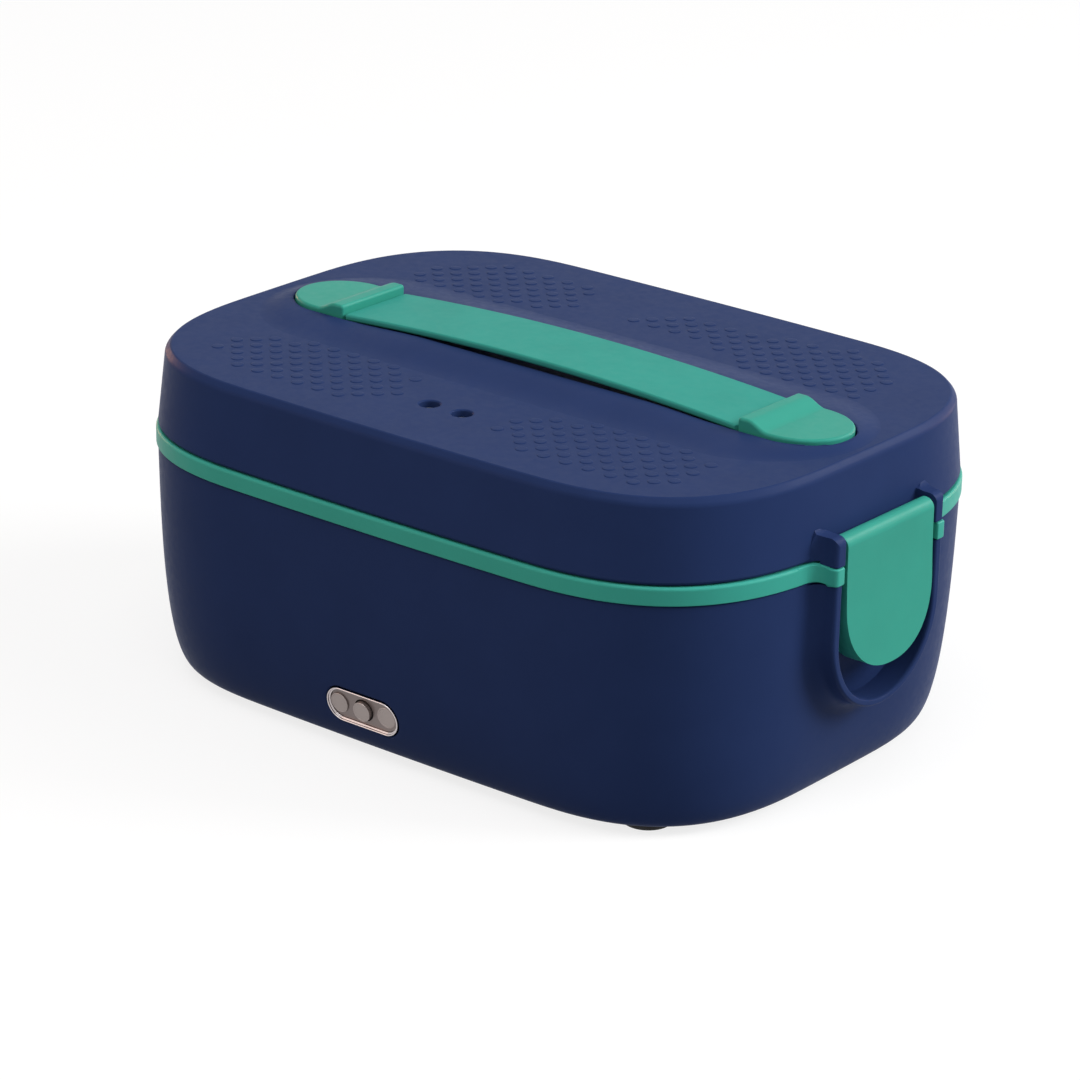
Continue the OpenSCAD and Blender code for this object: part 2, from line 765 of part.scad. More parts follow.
// The strap from x0 to x1, measured from the middle of the handle
strap_steps = 10;
function strap_under(x) = strap_end_z + strap_rise * max(0, 1 - pow(x / strap_face, 2));
module strap_run(x0, x1) {
    xs = [for (k = [0:strap_steps]) x0 + (x1 - x0) * k / strap_steps];
    translate([handle_x, 0, 0]) along_y(strap_w)
        polygon(concat([for (x = xs) [x, strap_under(x)]],
            reversed([for (x = xs) [x, strap_under(x) + strap_t]])));
}

module strap_grip() {
    color(green) strap_run(-grip_half, grip_half);
}

module strap_end() {
    difference() {
        union() {
            strap_run(grip_half + eps, strap_face - eps);
            translate([handle_x + strap_face - 0.3, -insert_w / 2, strap_end_z])
                cube([slot_depth - 0.7, insert_w, insert_t]);
        }
        for (s = [-1, 1]) translate([handle_x + strap_face + cap_post_in, s * cap_post_y, slot_z - 1])
            linear_extrude(slot_h + 2) oval(3 + 2 * cap_post_r, 2 * cap_post_r + 0.6);
    }
}

module strap_flex_right() {
    color(green) strap_end();
}

module strap_flex_left() {
    color(green) translate([2 * handle_x, 0, 0]) mirrored_end() strap_end();
}

pin_half = bore_end - 0.1;
module latch_pin_right() {
    color(steel) translate([pin_x, pin_half, pin_z]) rotate([90, 0, 0]) cylinder(r = pin_r, h = 2 * pin_half);
}

module latch_pin_left() {
    mirrored_end() latch_pin_right();
}

// What lies behind a tongue's leaning face, or a face that far behind it
module behind_face(inset) {
    top_x = latch_face_x - inset;
    slope = tongue_lean / (pin_z - tongue_z);
    along_y(4 * tongue_half) polygon([[skirt_x - 2, tongue_z - 1], [top_x + tongue_lean + slope, tongue_z - 1],
        [top_x, pin_z], [skirt_x - 2, pin_z]]);
}

module latch_right() {
    color(green) difference() {
        union() {
            difference() {
                intersection() {
                    along_x(skirt_x, latch_face_x + tongue_lean + 1)
                        tongue_outline(tongue_half, tongue_z, pin_z);
                    behind_face(0);
                }
                intersection() {
                    along_x(skirt_x - 1, latch_face_x + tongue_lean)
                        tongue_outline(tongue_half - skirt_t, tongue_z + skirt_t, pin_z);
                    behind_face(tongue_t);
                }
                translate([skirt_x - 1, -tongue_half - 1, pin_z - 5])
                    cube([latch_face_x - tongue_t - skirt_x + 1, 2 * tongue_half + 2, 6]);
            }
            translate([pin_x, tongue_half, pin_z]) rotate([90, 0, 0]) cylinder(r = barrel_r,
                h = 2 * tongue_half);
            translate([hook_x, -hook_half, hook_z]) cube([latch_face_x - hook_x, 2 * hook_half, hook_t]);
        }
        translate([pin_x, tongue_half + 1, pin_z]) rotate([90, 0, 0])
            cylinder(r = pin_r + 0.05, h = 2 * tongue_half + 2);
    }
}

module latch_left() {
    mirrored_end() latch_right();
}

base_shell();
base_cover();
cover_screws();
rubber_feet();
rim_band();
heating_chamber();
heating_plate();
ptc_heater();
heater_clamp();
clamp_screws();
thermostat();
thermal_fuse();
heat_shield();
inlet_housing();
inlet_bezel();
inlet_plate();
contact_left();
contact_center();
contact_right();
lead_live();
lead_earth();
lead_neutral();
food_container();
lid_shell();
lid_liner();
lid_gasket();
cap_left();
cap_right();
cap_screws();
strap_flex_left();
strap_grip();
strap_flex_right();
latch_pin_left();
latch_pin_right();
latch_left();
latch_right();
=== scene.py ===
"""An electric lunch box: navy base and lid, green band, latches and strap, and a steel container inside.

Everything is in metres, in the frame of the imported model. Sizes are written in millimetres and scaled by MM.
"""

import math

import bmesh
import bpy
from mathutils import Matrix, Vector


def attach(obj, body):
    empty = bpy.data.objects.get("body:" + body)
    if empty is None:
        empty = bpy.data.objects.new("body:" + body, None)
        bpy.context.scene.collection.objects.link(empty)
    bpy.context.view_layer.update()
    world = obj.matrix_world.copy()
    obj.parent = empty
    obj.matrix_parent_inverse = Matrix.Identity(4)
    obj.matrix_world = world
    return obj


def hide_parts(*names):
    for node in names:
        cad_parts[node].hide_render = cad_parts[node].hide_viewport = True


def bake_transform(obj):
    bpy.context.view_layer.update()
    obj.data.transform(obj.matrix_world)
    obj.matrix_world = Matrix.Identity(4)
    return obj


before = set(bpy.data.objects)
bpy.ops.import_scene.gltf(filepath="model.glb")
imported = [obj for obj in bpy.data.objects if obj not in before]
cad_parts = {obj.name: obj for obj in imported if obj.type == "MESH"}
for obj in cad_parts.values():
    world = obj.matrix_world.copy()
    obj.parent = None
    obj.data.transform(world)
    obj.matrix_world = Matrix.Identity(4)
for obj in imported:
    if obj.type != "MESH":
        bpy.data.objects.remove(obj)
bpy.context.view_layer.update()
ops = bpy.ops
MM = 0.001

# --- Sizes in millimetres ---------------------------------------------------------------------

# The plan: half sizes, how far its corners reach, and how far its sides and ends bow out
HALF_LEN, HALF_WID = 120.0, 85.3
CORNER_X, CORNER_Y, CORNER_POWER = 66.0, 70.0, 2.64
SIDE_BOW, END_BOW = 2.7, 0.9
CORNER_STEPS, SIDE_STEPS, END_STEPS = 30, 10, 5
WALL = 2.4

# The base, which draws in towards a round foot, and the band on its rim
BASE_Z, BASE_TOP = 2.5, 77.0
BASE_DRAFT, ROUND_X, ROUND_Z, ROUND_POWER, ROUND_STEPS = 1.7, 10.0, 70.0, 2.7, 26
BAND_Z, BAND_TOP, BAND_PROUD = 77.2, 82.9, 0.6
BAND_ROUND, BAND_EDGE, BAND_LEDGE, BAND_LEDGE_Z = 1.0, 0.4, -2.7, 79.8
TUB_TOP, TUB_WALL = 79.6, 77.05

# The lid and the low crown of its top, which rises to the handle's pocket
LID_Z, LID_TOP, LID_DRAFT, LID_EDGE = 83.2, 109.0, 2.7, 3.2
LID_BEND, LID_BEND_TURN = 3.0, 38
CROWN_Z, CROWN_END, CROWN_SIDE, CROWN_ARCH = 110.8, 7.0, 21.5, 1.25
CROWN_RIGHT, CROWN_RIM, CROWN_SINK, CROWN_STEPS = 115.2, 0.06, 0.03, 12
ARCH_FLAT, ARCH_FALL = 42, 34
POCKET_Z, POCKET_GAP = 105.8, 0.5
VENT_X, VENT_Y, VENT_R, VENT_PITCH, VENT_WALL = 1.5, -55.5, 3.3, 12.8, 1.5
DOT_R, DOT_RISE, DOT_PITCH, DOT_ROW, DOT_ROOT = 2.1, 0.19, 8.3, 4.4, -0.6

# The handle: two caps with a lip each, and the strap, whose ends run into slots in the caps
HANDLE_X, HANDLE_HALF, CAP_WIDTH, CAP_LENGTH = 2.6, 107.4, 30.7, 29.1
CAP_FLAT, LIP_TOP, LIP_FLAT, LIP_RUN = 112.1, 114.7, 3.3, 7.7
CAP_STRETCH, LIP_ROUND, LIP_STEPS, CAP_STEPS = 1.13, 1.1, 24, 32
SLOT_Z, SLOT_WIDTH, SLOT_HIGH, SLOT_DEEP = 109.5, 27.1, 1.9, 11.5
STRAP_WIDTH, STRAP_THICK, STRAP_RISE, STRAP_END = 30.0, 2.2, 3.19, 109.7
STRAP_STEPS, STRAP_GAP, CORNER_CUT_X, CORNER_CUT_Y = 28, 0.4, 2.2, 2.4
INSERT_WIDTH, INSERT_THICK = 26.5, 1.5
STRAP_FACE = HANDLE_HALF - CAP_LENGTH

# The latches, which lean out towards a round foot, and their hooks and catches
FACE_X, SKIRT_X, TONGUE_THICK, SKIRT_THICK = 127.6, 121.9, 3.1, 2.0
TONGUE_HALF, TONGUE_Z, TONGUE_LEAN, FOOT_POWER = 22.3, 45.2, 2.6, 0.905
PIN_Z, BARREL_R, BORE_R = 86.9, 3.2, 1.55
PIN_X = FACE_X - BARREL_R
HOOK_HALF, CATCH_HALF = 9, 10

# The guards round the latches, which flare out of the end walls
GUARD_X, GUARD_HALF, GUARD_WIDE, GUARD_Z, GUARD_TOP = 127.7, 27.7, 3.4, 30.8, 76.2
GUARD_LOW, GUARD_FLARE, GUARD_ROOT = 1.2, 8.5, 1.2
EMBED, FLARE_POWER = 0.1, 0.55
TAB_X, TAB_Z, TAB_TOP, TAB_IN, TAB_OUT = 128.2, 76.4, 81.8, 24.2, 28.3

# The ears that hold the hinge pins, each with a small horn at the lid's wall
EAR_WIDE, EAR_Z, EAR_TOP, EAR_HIGH, EAR_OFFSET = 4.3, 82.2, 91.0, 14, -0.4
EAR_FOOT_X, EAR_ROUND, EAR_WING, EAR_SLOPE, EAR_DROOP = 121.9, 2.8, 4.5, 1.1, 0.25
HORN_X, HORN_Z = 118.7, 93.4

# How far into the end walls the blocks that stand on them reach
BLOCK_ROOT, SIDE_ROOT = 118.5, 118

# The power inlet, square to the leaning front wall
INLET = Vector((-6.3, -84.0, 16.3))
INLET_LEAN, INLET_WIDE, INLET_HIGH, INLET_GAP = 10.0, 28.5, 11.6, 0.5
RIM_WIDE, RIM_BACK, FACE_FRONT, EARTH_R, EARTH_GAP = 0.45, -1.85, -0.9, 3.3, 0.4

FEET_X, FEET_Y, FOOT_R, FOOT_EDGE, FOOT_TOP = 85.8, 60.0, 8.0, 1.0, 3.65

# In metres: how near a corner has to be to count as lying on a face
HAIR = 0.00001


# --- Working on meshes -------------------------------------------------------------------------

def deselect():
    ops.object.select_all(action="DESELECT")


def pick(*pieces):
    deselect()
    for piece in pieces:
        piece.select_set(True)
    bpy.context.view_layer.objects.active = pieces[0]


def start_editing(piece):
    pick(piece)
    ops.object.mode_set(mode="EDIT")
    ops.mesh.select_all(action="SELECT")


def stop_editing():
    ops.object.mode_set(mode="OBJECT")


def mark_edges(piece, test):
    """In edit mode, leaves only the edges that pass the test selected."""
    ops.mesh.select_mode(type="EDGE")
    ops.mesh.select_all(action="DESELECT")
    for edge in bmesh.from_edit_mesh(piece.data).edges:
        if test(edge):
            edge.select = True
    bmesh.update_edit_mesh(piece.data)


def round_edges(piece, test, width, segments):
    """Rounds the edges that pass the test."""
    start_editing(piece)
    mark_edges(piece, test)
    ops.mesh.bevel(offset=width * MM, segments=segments, affect="EDGES")
    stop_editing()


def face_outwards(piece, weld=0.000002):
    start_editing(piece)
    ops.mesh.remove_doubles(threshold=weld)
    ops.mesh.normals_make_consistent(inside=False)
    stop_editing()


def apply_modifier(piece, kind, **settings):
    pick(piece)
    modifier = piece.modifiers.new(kind.lower(), kind)
    for name, value in settings.items():
        setattr(modifier, name, value)
    ops.object.modifier_apply(modifier=modifier.name)


def bevel(piece, width, segments=3, angle=40):
    """Rounds every edge that turns by more than the angle."""
    apply_modifier(piece, "BEVEL", width=width * MM, segments=segments, limit_method="ANGLE",
                   angle_limit=math.radians(angle), miter_outer="MITER_ARC", use_clamp_overlap=True)


def combine(piece, tool, operation="DIFFERENCE"):
    apply_modifier(piece, "BOOLEAN", object=tool, operation=operation, solver="EXACT")
    bpy.data.objects.remove(tool)


def join(pieces):
    pick(*pieces)
    ops.object.join()
    return pieces[0]


def copy_of(piece, matrix=Matrix()):
    """A copy with its own mesh, moved by the matrix."""
    twin = piece.copy()
    twin.data = piece.data.copy()
    bpy.context.collection.objects.link(twin)
    twin.data.transform(matrix)
    if matrix.determinant() < 0:
        twin.data.flip_normals()
    return twin


MIRROR_X = Matrix.Scale(-1, 4, (1, 0, 0))
MIRROR_Y = Matrix.Scale(-1, 4, (0, 1, 0))


def drawn(points):
    """A flat face whose corners are the points, given in millimetres."""
    deselect()
    ops.mesh.primitive_circle_add(vertices=len(points), radius=1, fill_type="NGON")
    piece = bpy.context.object
    for vertex, point in zip(piece.data.vertices, points):
        vertex.co = Vector(point) * MM
    return piece


def plate(points, way):
    """A drawn face pushed out along way, in millimetres."""
    piece = drawn(points)
    start_editing(piece)
    ops.mesh.extrude_region_move(TRANSFORM_OT_translate={"value": Vector(way) * MM})
    stop_editing()
    face_outwards(piece)
    return piece


def arc(centre, radius, start, end, steps):
    """Points of an arc in a plane. radius may be a pair, for an ellipse."""
    rx, ry = radius if isinstance(radius, tuple) else (radius, radius)
    turns = [math.radians(start + (end - start) * k / steps) for k in range(steps + 1)]
    return [(centre[0] + rx * math.cos(t), centre[1] + ry * math.sin(t)) for t in turns]


def oval(width, height, steps=16, stretch=1.0):
    """Outline of a flat-sided oval, round at both ends, or longer than round if stretched."""
    reach = stretch * height / 2
    run = width / 2 - reach
    return (arc((run, 0), (reach, height / 2), -90, 90, steps)
            + arc((-run, 0), (reach, height / 2), 90, 270, steps))


def turned(profile, centre, steps=40):
    """A round piece: the profile of (radius, height) points is spun round a vertical line."""
    deselect()
    ops.mesh.primitive_circle_add(vertices=len(profile), radius=1)
    piece = bpy.context.object
    for vertex, (r, z) in zip(piece.data.vertices, profile):
        vertex.co = Vector((centre[0] + r, centre[1], centre[2] + z)) * MM
    start_editing(piece)
    ops.mesh.spin(steps=steps, angle=2 * math.pi, axis=(0, 0, 1), center=Vector(centre) * MM)
    stop_editing()
    face_outwards(piece)
    return piece


# --- The box's plan ----------------------------------------------------------------------------

FLAT_X, FLAT_Y = HALF_LEN - CORNER_X, HALF_WID - CORNER_Y


def plan_quarter():
    """One quarter of the plan, from the middle of the right end to the middle of the back."""
    points = [(HALF_LEN, FLAT_Y * k / END_STEPS) for k in range(END_STEPS)]
    for k in range(CORNER_STEPS + 1):
        t = math.radians(90 * k / CORNER_STEPS)
        points.append((FLAT_X + CORNER_X * math.cos(t) ** (2 / CORNER_POWER),
                       FLAT_Y + CORNER_Y * math.sin(t) ** (2 / CORNER_POWER)))
    points += [(FLAT_X * (1 - k / SIDE_STEPS), HALF_WID) for k in range(1, SIDE_STEPS + 1)]
    return [Vector((x + END_BOW * (1 - (y / HALF_WID) ** 2),
                    y + SIDE_BOW * (1 - (x / HALF_LEN) ** 2))) for x, y in points]


def plan_loop():
    """The whole plan and its outward normals, going round from the middle of the right end."""
    quarter = plan_quarter()
    half = quarter + [Vector((-p.x, p.y)) for p in quarter[-2::-1]]
    loop = half + [Vector((p.x, -p.y)) for p in half[-2:0:-1]]
    normals = []
    for i, _ in enumerate(loop):
        along = loop[(i + 1) % len(loop)] - loop[i - 1]
        normals.append(Vector((along.y, -along.x)).normalized())
    return loop, normals


PLAN, NORMALS = plan_loop()


def ring(offset, z):
    return [Vector((p.x + n.x * offset, p.y + n.y * offset, z)) * MM for p, n in zip(PLAN, NORMALS)]


def turn_of(point):
    """How far round from the middle of the right end a point lies."""
    return (math.atan2(point[1], point[0]) + 0.001) % (2 * math.pi)


def round_order(vertex):
    return turn_of(vertex.co)


def sweep(profile, closed=True):
    """A wall that runs right round the plan, from a profile of (offset from the plan, height).

    One ring is drawn and then extruded for each step of the profile. A closed wall ends where it
    began, and an open one has a flat face at each end.
    """
    deselect()
    fill = "NOTHING" if closed else "NGON"
    ops.mesh.primitive_circle_add(vertices=len(PLAN), radius=1, fill_type=fill)
    piece = bpy.context.object
    start_editing(piece)
    for step, (offset, z) in enumerate(profile):
        if step:
            ops.mesh.extrude_region()
        mesh = bmesh.from_edit_mesh(piece.data)
        moving = sorted((v for v in mesh.verts if v.select), key=round_order)
        for vertex, place in zip(moving, ring(offset, z)):
            vertex.co = place
        bmesh.update_edit_mesh(piece.data)
    if closed:
        mark_edges(piece, lambda edge: edge.is_boundary)
        ops.mesh.bridge_edge_loops()
    stop_editing()
    face_outwards(piece)
    return piece


def base_offset(z):
    """How far the base's outside lies from the plan at a height."""
    rise = min(max((z - BASE_Z) / ROUND_Z, 0), 1)
    tuck = ROUND_X * (1 - (1 - (1 - rise) ** ROUND_POWER) ** (1 / ROUND_POWER))
    return -BASE_DRAFT * (BASE_TOP - z) / (BASE_TOP - BASE_Z) - tuck


def end_wall_x(y, offset):
    """Where the end wall stands at y, at an offset from the plan."""
    reach = max(abs(y) - FLAT_Y, 0) / CORNER_Y
    x = HALF_LEN - CORNER_X * (1 - (1 - reach ** CORNER_POWER) ** (1 / CORNER_POWER))
    slope = CORNER_X / CORNER_Y * reach ** (CORNER_POWER - 1)
    return x + END_BOW * (1 - (y / HALF_WID) ** 2) + offset * math.hypot(1, slope)


# --- Finishes ----------------------------------------------------------------------------------

def srgb(*channels):
    """Linear colour of a 0 to 255 display colour."""
    parts = [c / 255 for c in channels]
    return [p / 12.92 if p <= 0.04045 else ((p + 0.055) / 1.055) ** 2.4 for p in parts] + [1]


def finish_of(name, colour, roughness, metallic=0.0, grain=0.35, depth=0.02, shade=0.06,
              streak=(1, 1, 1), patch=18.0, spread=0.05, **sockets):
    """A moulded or metal finish with a fine grain in its relief, its colour and its gloss.

    grain is the size of the relief and depth its height, in millimetres. shade is how far the colour
    wanders over patches of that many millimetres, and spread how far the roughness does. streak
    stretches the pattern, as brushing does.
    """
    made = bpy.data.materials.new(name)
    made.use_nodes = True
    nodes, links = made.node_tree.nodes, made.node_tree.links
    base = nodes["Principled BSDF"]
    base.inputs["Metallic"].default_value = metallic
    for socket, value in sockets.items():
        base.inputs[socket.replace("_", " ")].default_value = value
    place = nodes.new("ShaderNodeTexCoord")
    stretch = nodes.new("ShaderNodeMapping")
    stretch.inputs["Scale"].default_value = streak
    links.new(place.outputs["Object"], stretch.inputs["Vector"])

    def noise(size, detail):
        node = nodes.new("ShaderNodeTexNoise")
        node.inputs["Scale"].default_value = 1 / (size * MM)
        node.inputs["Detail"].default_value = detail
        links.new(stretch.outputs["Vector"], node.inputs["Vector"])
        return node.outputs["Fac"]

    tint = nodes.new("ShaderNodeValToRGB")
    for stop, level in zip(tint.color_ramp.elements, (1 - shade, 1 + shade)):
        stop.color = [c * level for c in colour[:3]] + [1]
    tint.color_ramp.elements[0].position = 0.3
    tint.color_ramp.elements[1].position = 0.7
    links.new(noise(patch, 3), tint.inputs["Fac"])
    links.new(tint.outputs["Color"], base.inputs["Base Color"])

    gloss = nodes.new("ShaderNodeMapRange")
    gloss.inputs["From Min"].default_value = 0.3
    gloss.inputs["From Max"].default_value = 0.7
    gloss.inputs["To Min"].default_value = roughness - spread
    gloss.inputs["To Max"].default_value = roughness + spread
    links.new(noise(grain * 6, 4), gloss.inputs["Value"])
    links.new(gloss.outputs["Result"], base.inputs["Roughness"])

    relief = nodes.new("ShaderNodeBump")
    relief.inputs["Strength"].default_value = 0.5
    relief.inputs["Distance"].default_value = depth * MM
    links.new(noise(grain, 2), relief.inputs["Height"])
    links.new(relief.outputs["Normal"], base.inputs["Normal"])
    return made


NAVY = finish_of("satin navy", [0.022, 0.042, 0.132], 0.4, grain=0.4, depth=0.01, shade=0.03,
                 Specular_IOR_Level=0.02)
GREEN = finish_of("matt green", [0.042, 0.35, 0.27], 0.4, grain=0.4, depth=0.01, shade=0.03,
                  Specular_IOR_Level=0.06)
# The band's green is the caps' green plastic painted lighter: the extra lightness is painted light on the band
BAND_GREEN_WITH_PAINTED_LIGHT = finish_of("band green", [0.05, 0.415, 0.33], 0.42, grain=0.4, depth=0.01, shade=0.03,
                       Specular_IOR_Level=0.1)
STRAP_GREEN = finish_of("soft green", [0.042, 0.34, 0.282], 0.5, grain=0.5, depth=0.012, shade=0.04,
                        Specular_IOR_Level=0.05)
BLACK = finish_of("black moulding", srgb(34, 34, 37), 0.5, grain=0.5, depth=0.02)
RUBBER = finish_of("foot rubber", srgb(26, 26, 28), 0.75, grain=0.7, depth=0.05)
CHAMBER = finish_of("grey moulding", srgb(62, 64, 70), 0.5, grain=0.6, depth=0.02)
STEEL = finish_of("spun steel", srgb(190, 192, 196), 0.28, metallic=1.0, grain=0.5, depth=0.004,
                  streak=(0.06, 1, 1), spread=0.06)
SCREW_STEEL = finish_of("screw steel", srgb(175, 176, 180), 0.3, metallic=1.0, grain=0.3, depth=0.01)
CHROME = finish_of("chrome rim", srgb(196, 188, 188), 0.16, metallic=1.0, grain=2.5, depth=0.001,
                   spread=0.02)
PLATE_METAL = finish_of("inlet metal", srgb(124, 114, 112), 0.36, metallic=0.75, grain=0.3, depth=0.006)
CONTACT_METAL = finish_of("contact metal", srgb(150, 140, 137), 0.32, metallic=0.8, grain=0.3,
                          depth=0.006)
ALUMINIUM = finish_of("mill aluminium", srgb(196, 198, 200), 0.4, metallic=1.0, grain=0.6,
                      streak=(0.1, 1, 1))
LINER = finish_of("frosted liner", srgb(196, 200, 204), 0.38, grain=0.5, depth=0.01)
SILICONE = finish_of("white silicone", srgb(206, 208, 206), 0.55, grain=0.6, depth=0.02)
CERAMIC = finish_of("ceramic body", srgb(196, 188, 170), 0.6, grain=0.3, depth=0.03)
BROWN_SLEEVE = finish_of("brown sleeve", srgb(92, 54, 34), 0.5, grain=0.5)
BLUE_SLEEVE = finish_of("blue sleeve", srgb(38, 76, 150), 0.5, grain=0.5)
EARTH_SLEEVE = finish_of("earth sleeve", srgb(120, 158, 40), 0.5, grain=0.5)


def complete(piece, name, finish, replaced, body="", crease=28):
    """Smooths and names a piece, gives it its finish, and puts it on its body if it has just one."""
    pick(piece)
    ops.object.transform_apply(location=True, rotation=True, scale=True)
    ops.object.shade_smooth_by_angle(angle=math.radians(crease))
    apply_modifier(piece, "WEIGHTED_NORMAL", keep_sharp=True, weight=100)
    piece.name = piece.data.name = name
    piece.data.materials.clear()
    piece.data.materials.append(finish)
    if body:
        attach(piece, body)
    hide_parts(*replaced)
    return piece


# --- Base ---------------------------------------------------------------------------------------

def base_wall():
    """The outer casing: a deep curved wall with a step inside its rim and an open underside."""
    turns = [math.radians(90 - 90 * k / ROUND_STEPS) for k in range(ROUND_STEPS + 1)]
    heights = [BASE_Z + ROUND_Z * (1 - math.sin(t) ** (2 / ROUND_POWER)) for t in turns]
    outside = [(base_offset(z), z) for z in heights]
    outside += [(-0.05, 76.3), (-0.15, 76.75), (-0.45, BASE_TOP)]
    inside = [(offset - WALL, z) for offset, z in outside if 7.2 < z < 71]
    foot = [(-14, 6.8), (-39, 6.8), (-39, 4.6), (-31.5, 4.6), (-31.5, 2.9), (-31.1, BASE_Z)]
    return sweep(outside + [(-5.2, BASE_TOP), (-5.2, 74)] + inside[::-1] + foot)


def flare(steps=12):
    """A hollow curve from (0, 1), flat on a wall, round to (1, 0), square to it."""
    turns = [math.radians(90 * k / steps) for k in range(steps + 1)]
    return [(1 - math.cos(t) ** FLARE_POWER, 1 - math.sin(t) ** FLARE_POWER) for t in turns]


def latch_guard():
    """The raised U round the right-hand latch, flared out of the end wall.

    Its section runs down one side, round a half circle and up the other side. Each corner is then
    moved to the wall's own depth at its place.
    """
    straight_steps, bowl_steps = 4, 40
    root = end_wall_x(0, 0) - GUARD_ROOT
    edge, lip = 1.1, 0.9
    foot = root + GUARD_ROOT - EMBED
    section = [(root, GUARD_FLARE), (foot, GUARD_FLARE)]
    section += [(foot + (GUARD_X - edge - foot) * u, GUARD_FLARE * v) for u, v in flare()[1:]]
    section += arc((GUARD_X - edge, -edge), edge, 90, 0, 5)[1:]
    section += arc((GUARD_X - lip, -GUARD_WIDE + lip), lip, 0, -90, 4)
    section += [(root + 1.6, -GUARD_WIDE - 0.1), (root, -GUARD_WIDE - 0.1)]
    piece = drawn([(x, -GUARD_HALF - d, GUARD_TOP) for x, d in section])
    centre = GUARD_Z + GUARD_HALF
    start_editing(piece)
    down = {"value": (0, 0, (centre - GUARD_TOP) / straight_steps * MM)}
    for _ in range(straight_steps):
        ops.mesh.extrude_region_move(TRANSFORM_OT_translate=down)
    ops.mesh.spin(steps=bowl_steps, angle=-math.pi, axis=(1, 0, 0), center=(0, 0, centre * MM))
    upward = {"value": (0, 0, (GUARD_TOP - centre) / straight_steps * MM)}
    for _ in range(straight_steps):
        ops.mesh.extrude_region_move(TRANSFORM_OT_translate=upward)
    stop_editing()
    for vertex in piece.data.vertices:
        x, y, z = vertex.co / MM
        depth = (GUARD_X - x) / (GUARD_X - foot)
        wall = end_wall_x(y, base_offset(z))
        deep = GUARD_X - depth * (GUARD_X - wall + EMBED)
        if x < foot - EMBED:
            deep = wall - GUARD_ROOT
        reach = GUARD_HALF - math.hypot(y, min(z - centre, 0))
        if reach > 0 and z < centre - 0.1:
            z -= GUARD_LOW * min(reach / GUARD_WIDE, 1)
        vertex.co = Vector((deep, y, z)) * MM
    face_outwards(piece)
    return piece


def catch():
    """The ridge on the end wall that a latch's hook holds."""
    side = [(SIDE_ROOT, 53.4), (119.6, 54), (122.4, 54), (122.9, 54.4), (122.9, 55), (119.6, 58),
            (SIDE_ROOT, 58.4)]
    piece = plate([(x, -CATCH_HALF, z) for x, z in side], (0, 2 * CATCH_HALF, 0))
    bevel(piece, 0.3, 2)
    return piece


INLET_FRAME = Matrix.Translation(INLET * MM) @ Matrix.Rotation(math.radians(90 + INLET_LEAN), 4, "X")


def base_shell():
    piece = base_wall()
    for part in (latch_guard(), catch()):
        combine(piece, copy_of(part, MIRROR_X), "UNION")
        combine(piece, part, "UNION")
    outline = oval(INLET_WIDE + 2 * INLET_GAP, INLET_HIGH + 2 * INLET_GAP)
    hole = plate([(x, y, -9) for x, y in outline], (0, 0, 20))
    hole.data.transform(INLET_FRAME)
    combine(piece, hole)
    inlet_place = INLET_FRAME.inverted()

    def on_hole(edge):
        spots = [inlet_place @ v.co / MM for v in edge.verts]
        reach = INLET_HIGH / 2 + INLET_GAP
        run = INLET_WIDE / 2 + INLET_GAP - reach
        return all(abs(math.hypot(max(abs(p.x) - run, 0), p.y) - reach) < 0.05 and abs(p.z) < 1.2
                   for p in spots)

    round_edges(piece, on_hole, 0.4, 3)
    complete(piece, "base_casing", NAVY, ["base_shell"], "base")


def flared_plan(half, inner, offset, face, corner):
    """Plan of a block on the end wall, whose outer side flares into the wall. Points are (x, y)."""
    brim = half + GUARD_FLARE
    outline = [(BLOCK_ROOT, brim), (end_wall_x(brim, offset) - EMBED, brim)]
    for u, v in flare()[1:]:
        y = half + GUARD_FLARE * v
        wall = end_wall_x(y, offset) - EMBED
        outline.append((wall + (face - corner - wall) * u, y))
    outline += arc((face - corner, half - corner), corner, 90, 0, 5)[1:]
    outline += arc((face - 0.5, inner + 0.5), 0.5, 0, -90, 3)
    return outline + [(BLOCK_ROOT, inner)]


def flared_tab():
    """One end of the band, which swings out with the guard and ends in a tab beside the latch."""
    outline = flared_plan(TAB_OUT, TAB_IN, BAND_PROUD, TAB_X, 1.3)
    piece = plate([(x, y, TAB_Z) for x, y in outline], (0, 0, BAND_TOP - TAB_Z))
    for vertex in piece.data.vertices:
        x, y, z = vertex.co / MM
        out = min(max((x - end_wall_x(y, BAND_PROUD)) / 4, 0), 1)
        low, high = BAND_Z + (TAB_Z - BAND_Z) * out, BAND_TOP + (TAB_TOP - BAND_TOP) * out
        vertex.co.z = (low if z < (low + high) / 2 else high) * MM
    bevel(piece, 0.45, 3)
    return piece


def rim_band():
    top, low = BAND_TOP, BAND_Z
    edge = (arc((BAND_PROUD - BAND_EDGE, low + BAND_EDGE), BAND_EDGE, 270, 360, 3)
            + arc((BAND_PROUD - BAND_ROUND, top - BAND_ROUND), BAND_ROUND, 0, 90, 6))
    piece = sweep([(BAND_LEDGE, low)] + edge + [(-7.6, top), (-8, top - BAND_EDGE),
                                                (-8, BAND_LEDGE_Z), (BAND_LEDGE, BAND_LEDGE_Z)])
    tab = flared_tab()
    tabs = [tab, copy_of(tab, MIRROR_Y), copy_of(tab, MIRROR_X), copy_of(tab, MIRROR_X @ MIRROR_Y)]
    for part in tabs:
        combine(piece, part, "UNION")
    # The band takes the lighter copy of the green, whose extra lightness is painted light
    complete(piece, "rim_band_trim", BAND_GREEN_WITH_PAINTED_LIGHT, ["rim_band"], "base")


def base_underside():
    piece = sweep([(-31.9, 2.7), (-31.9, 4.4)], closed=False)
    bevel(piece, 0.3, 2)
    complete(piece, "bottom_cover", BLACK, ["base_cover"], "base")


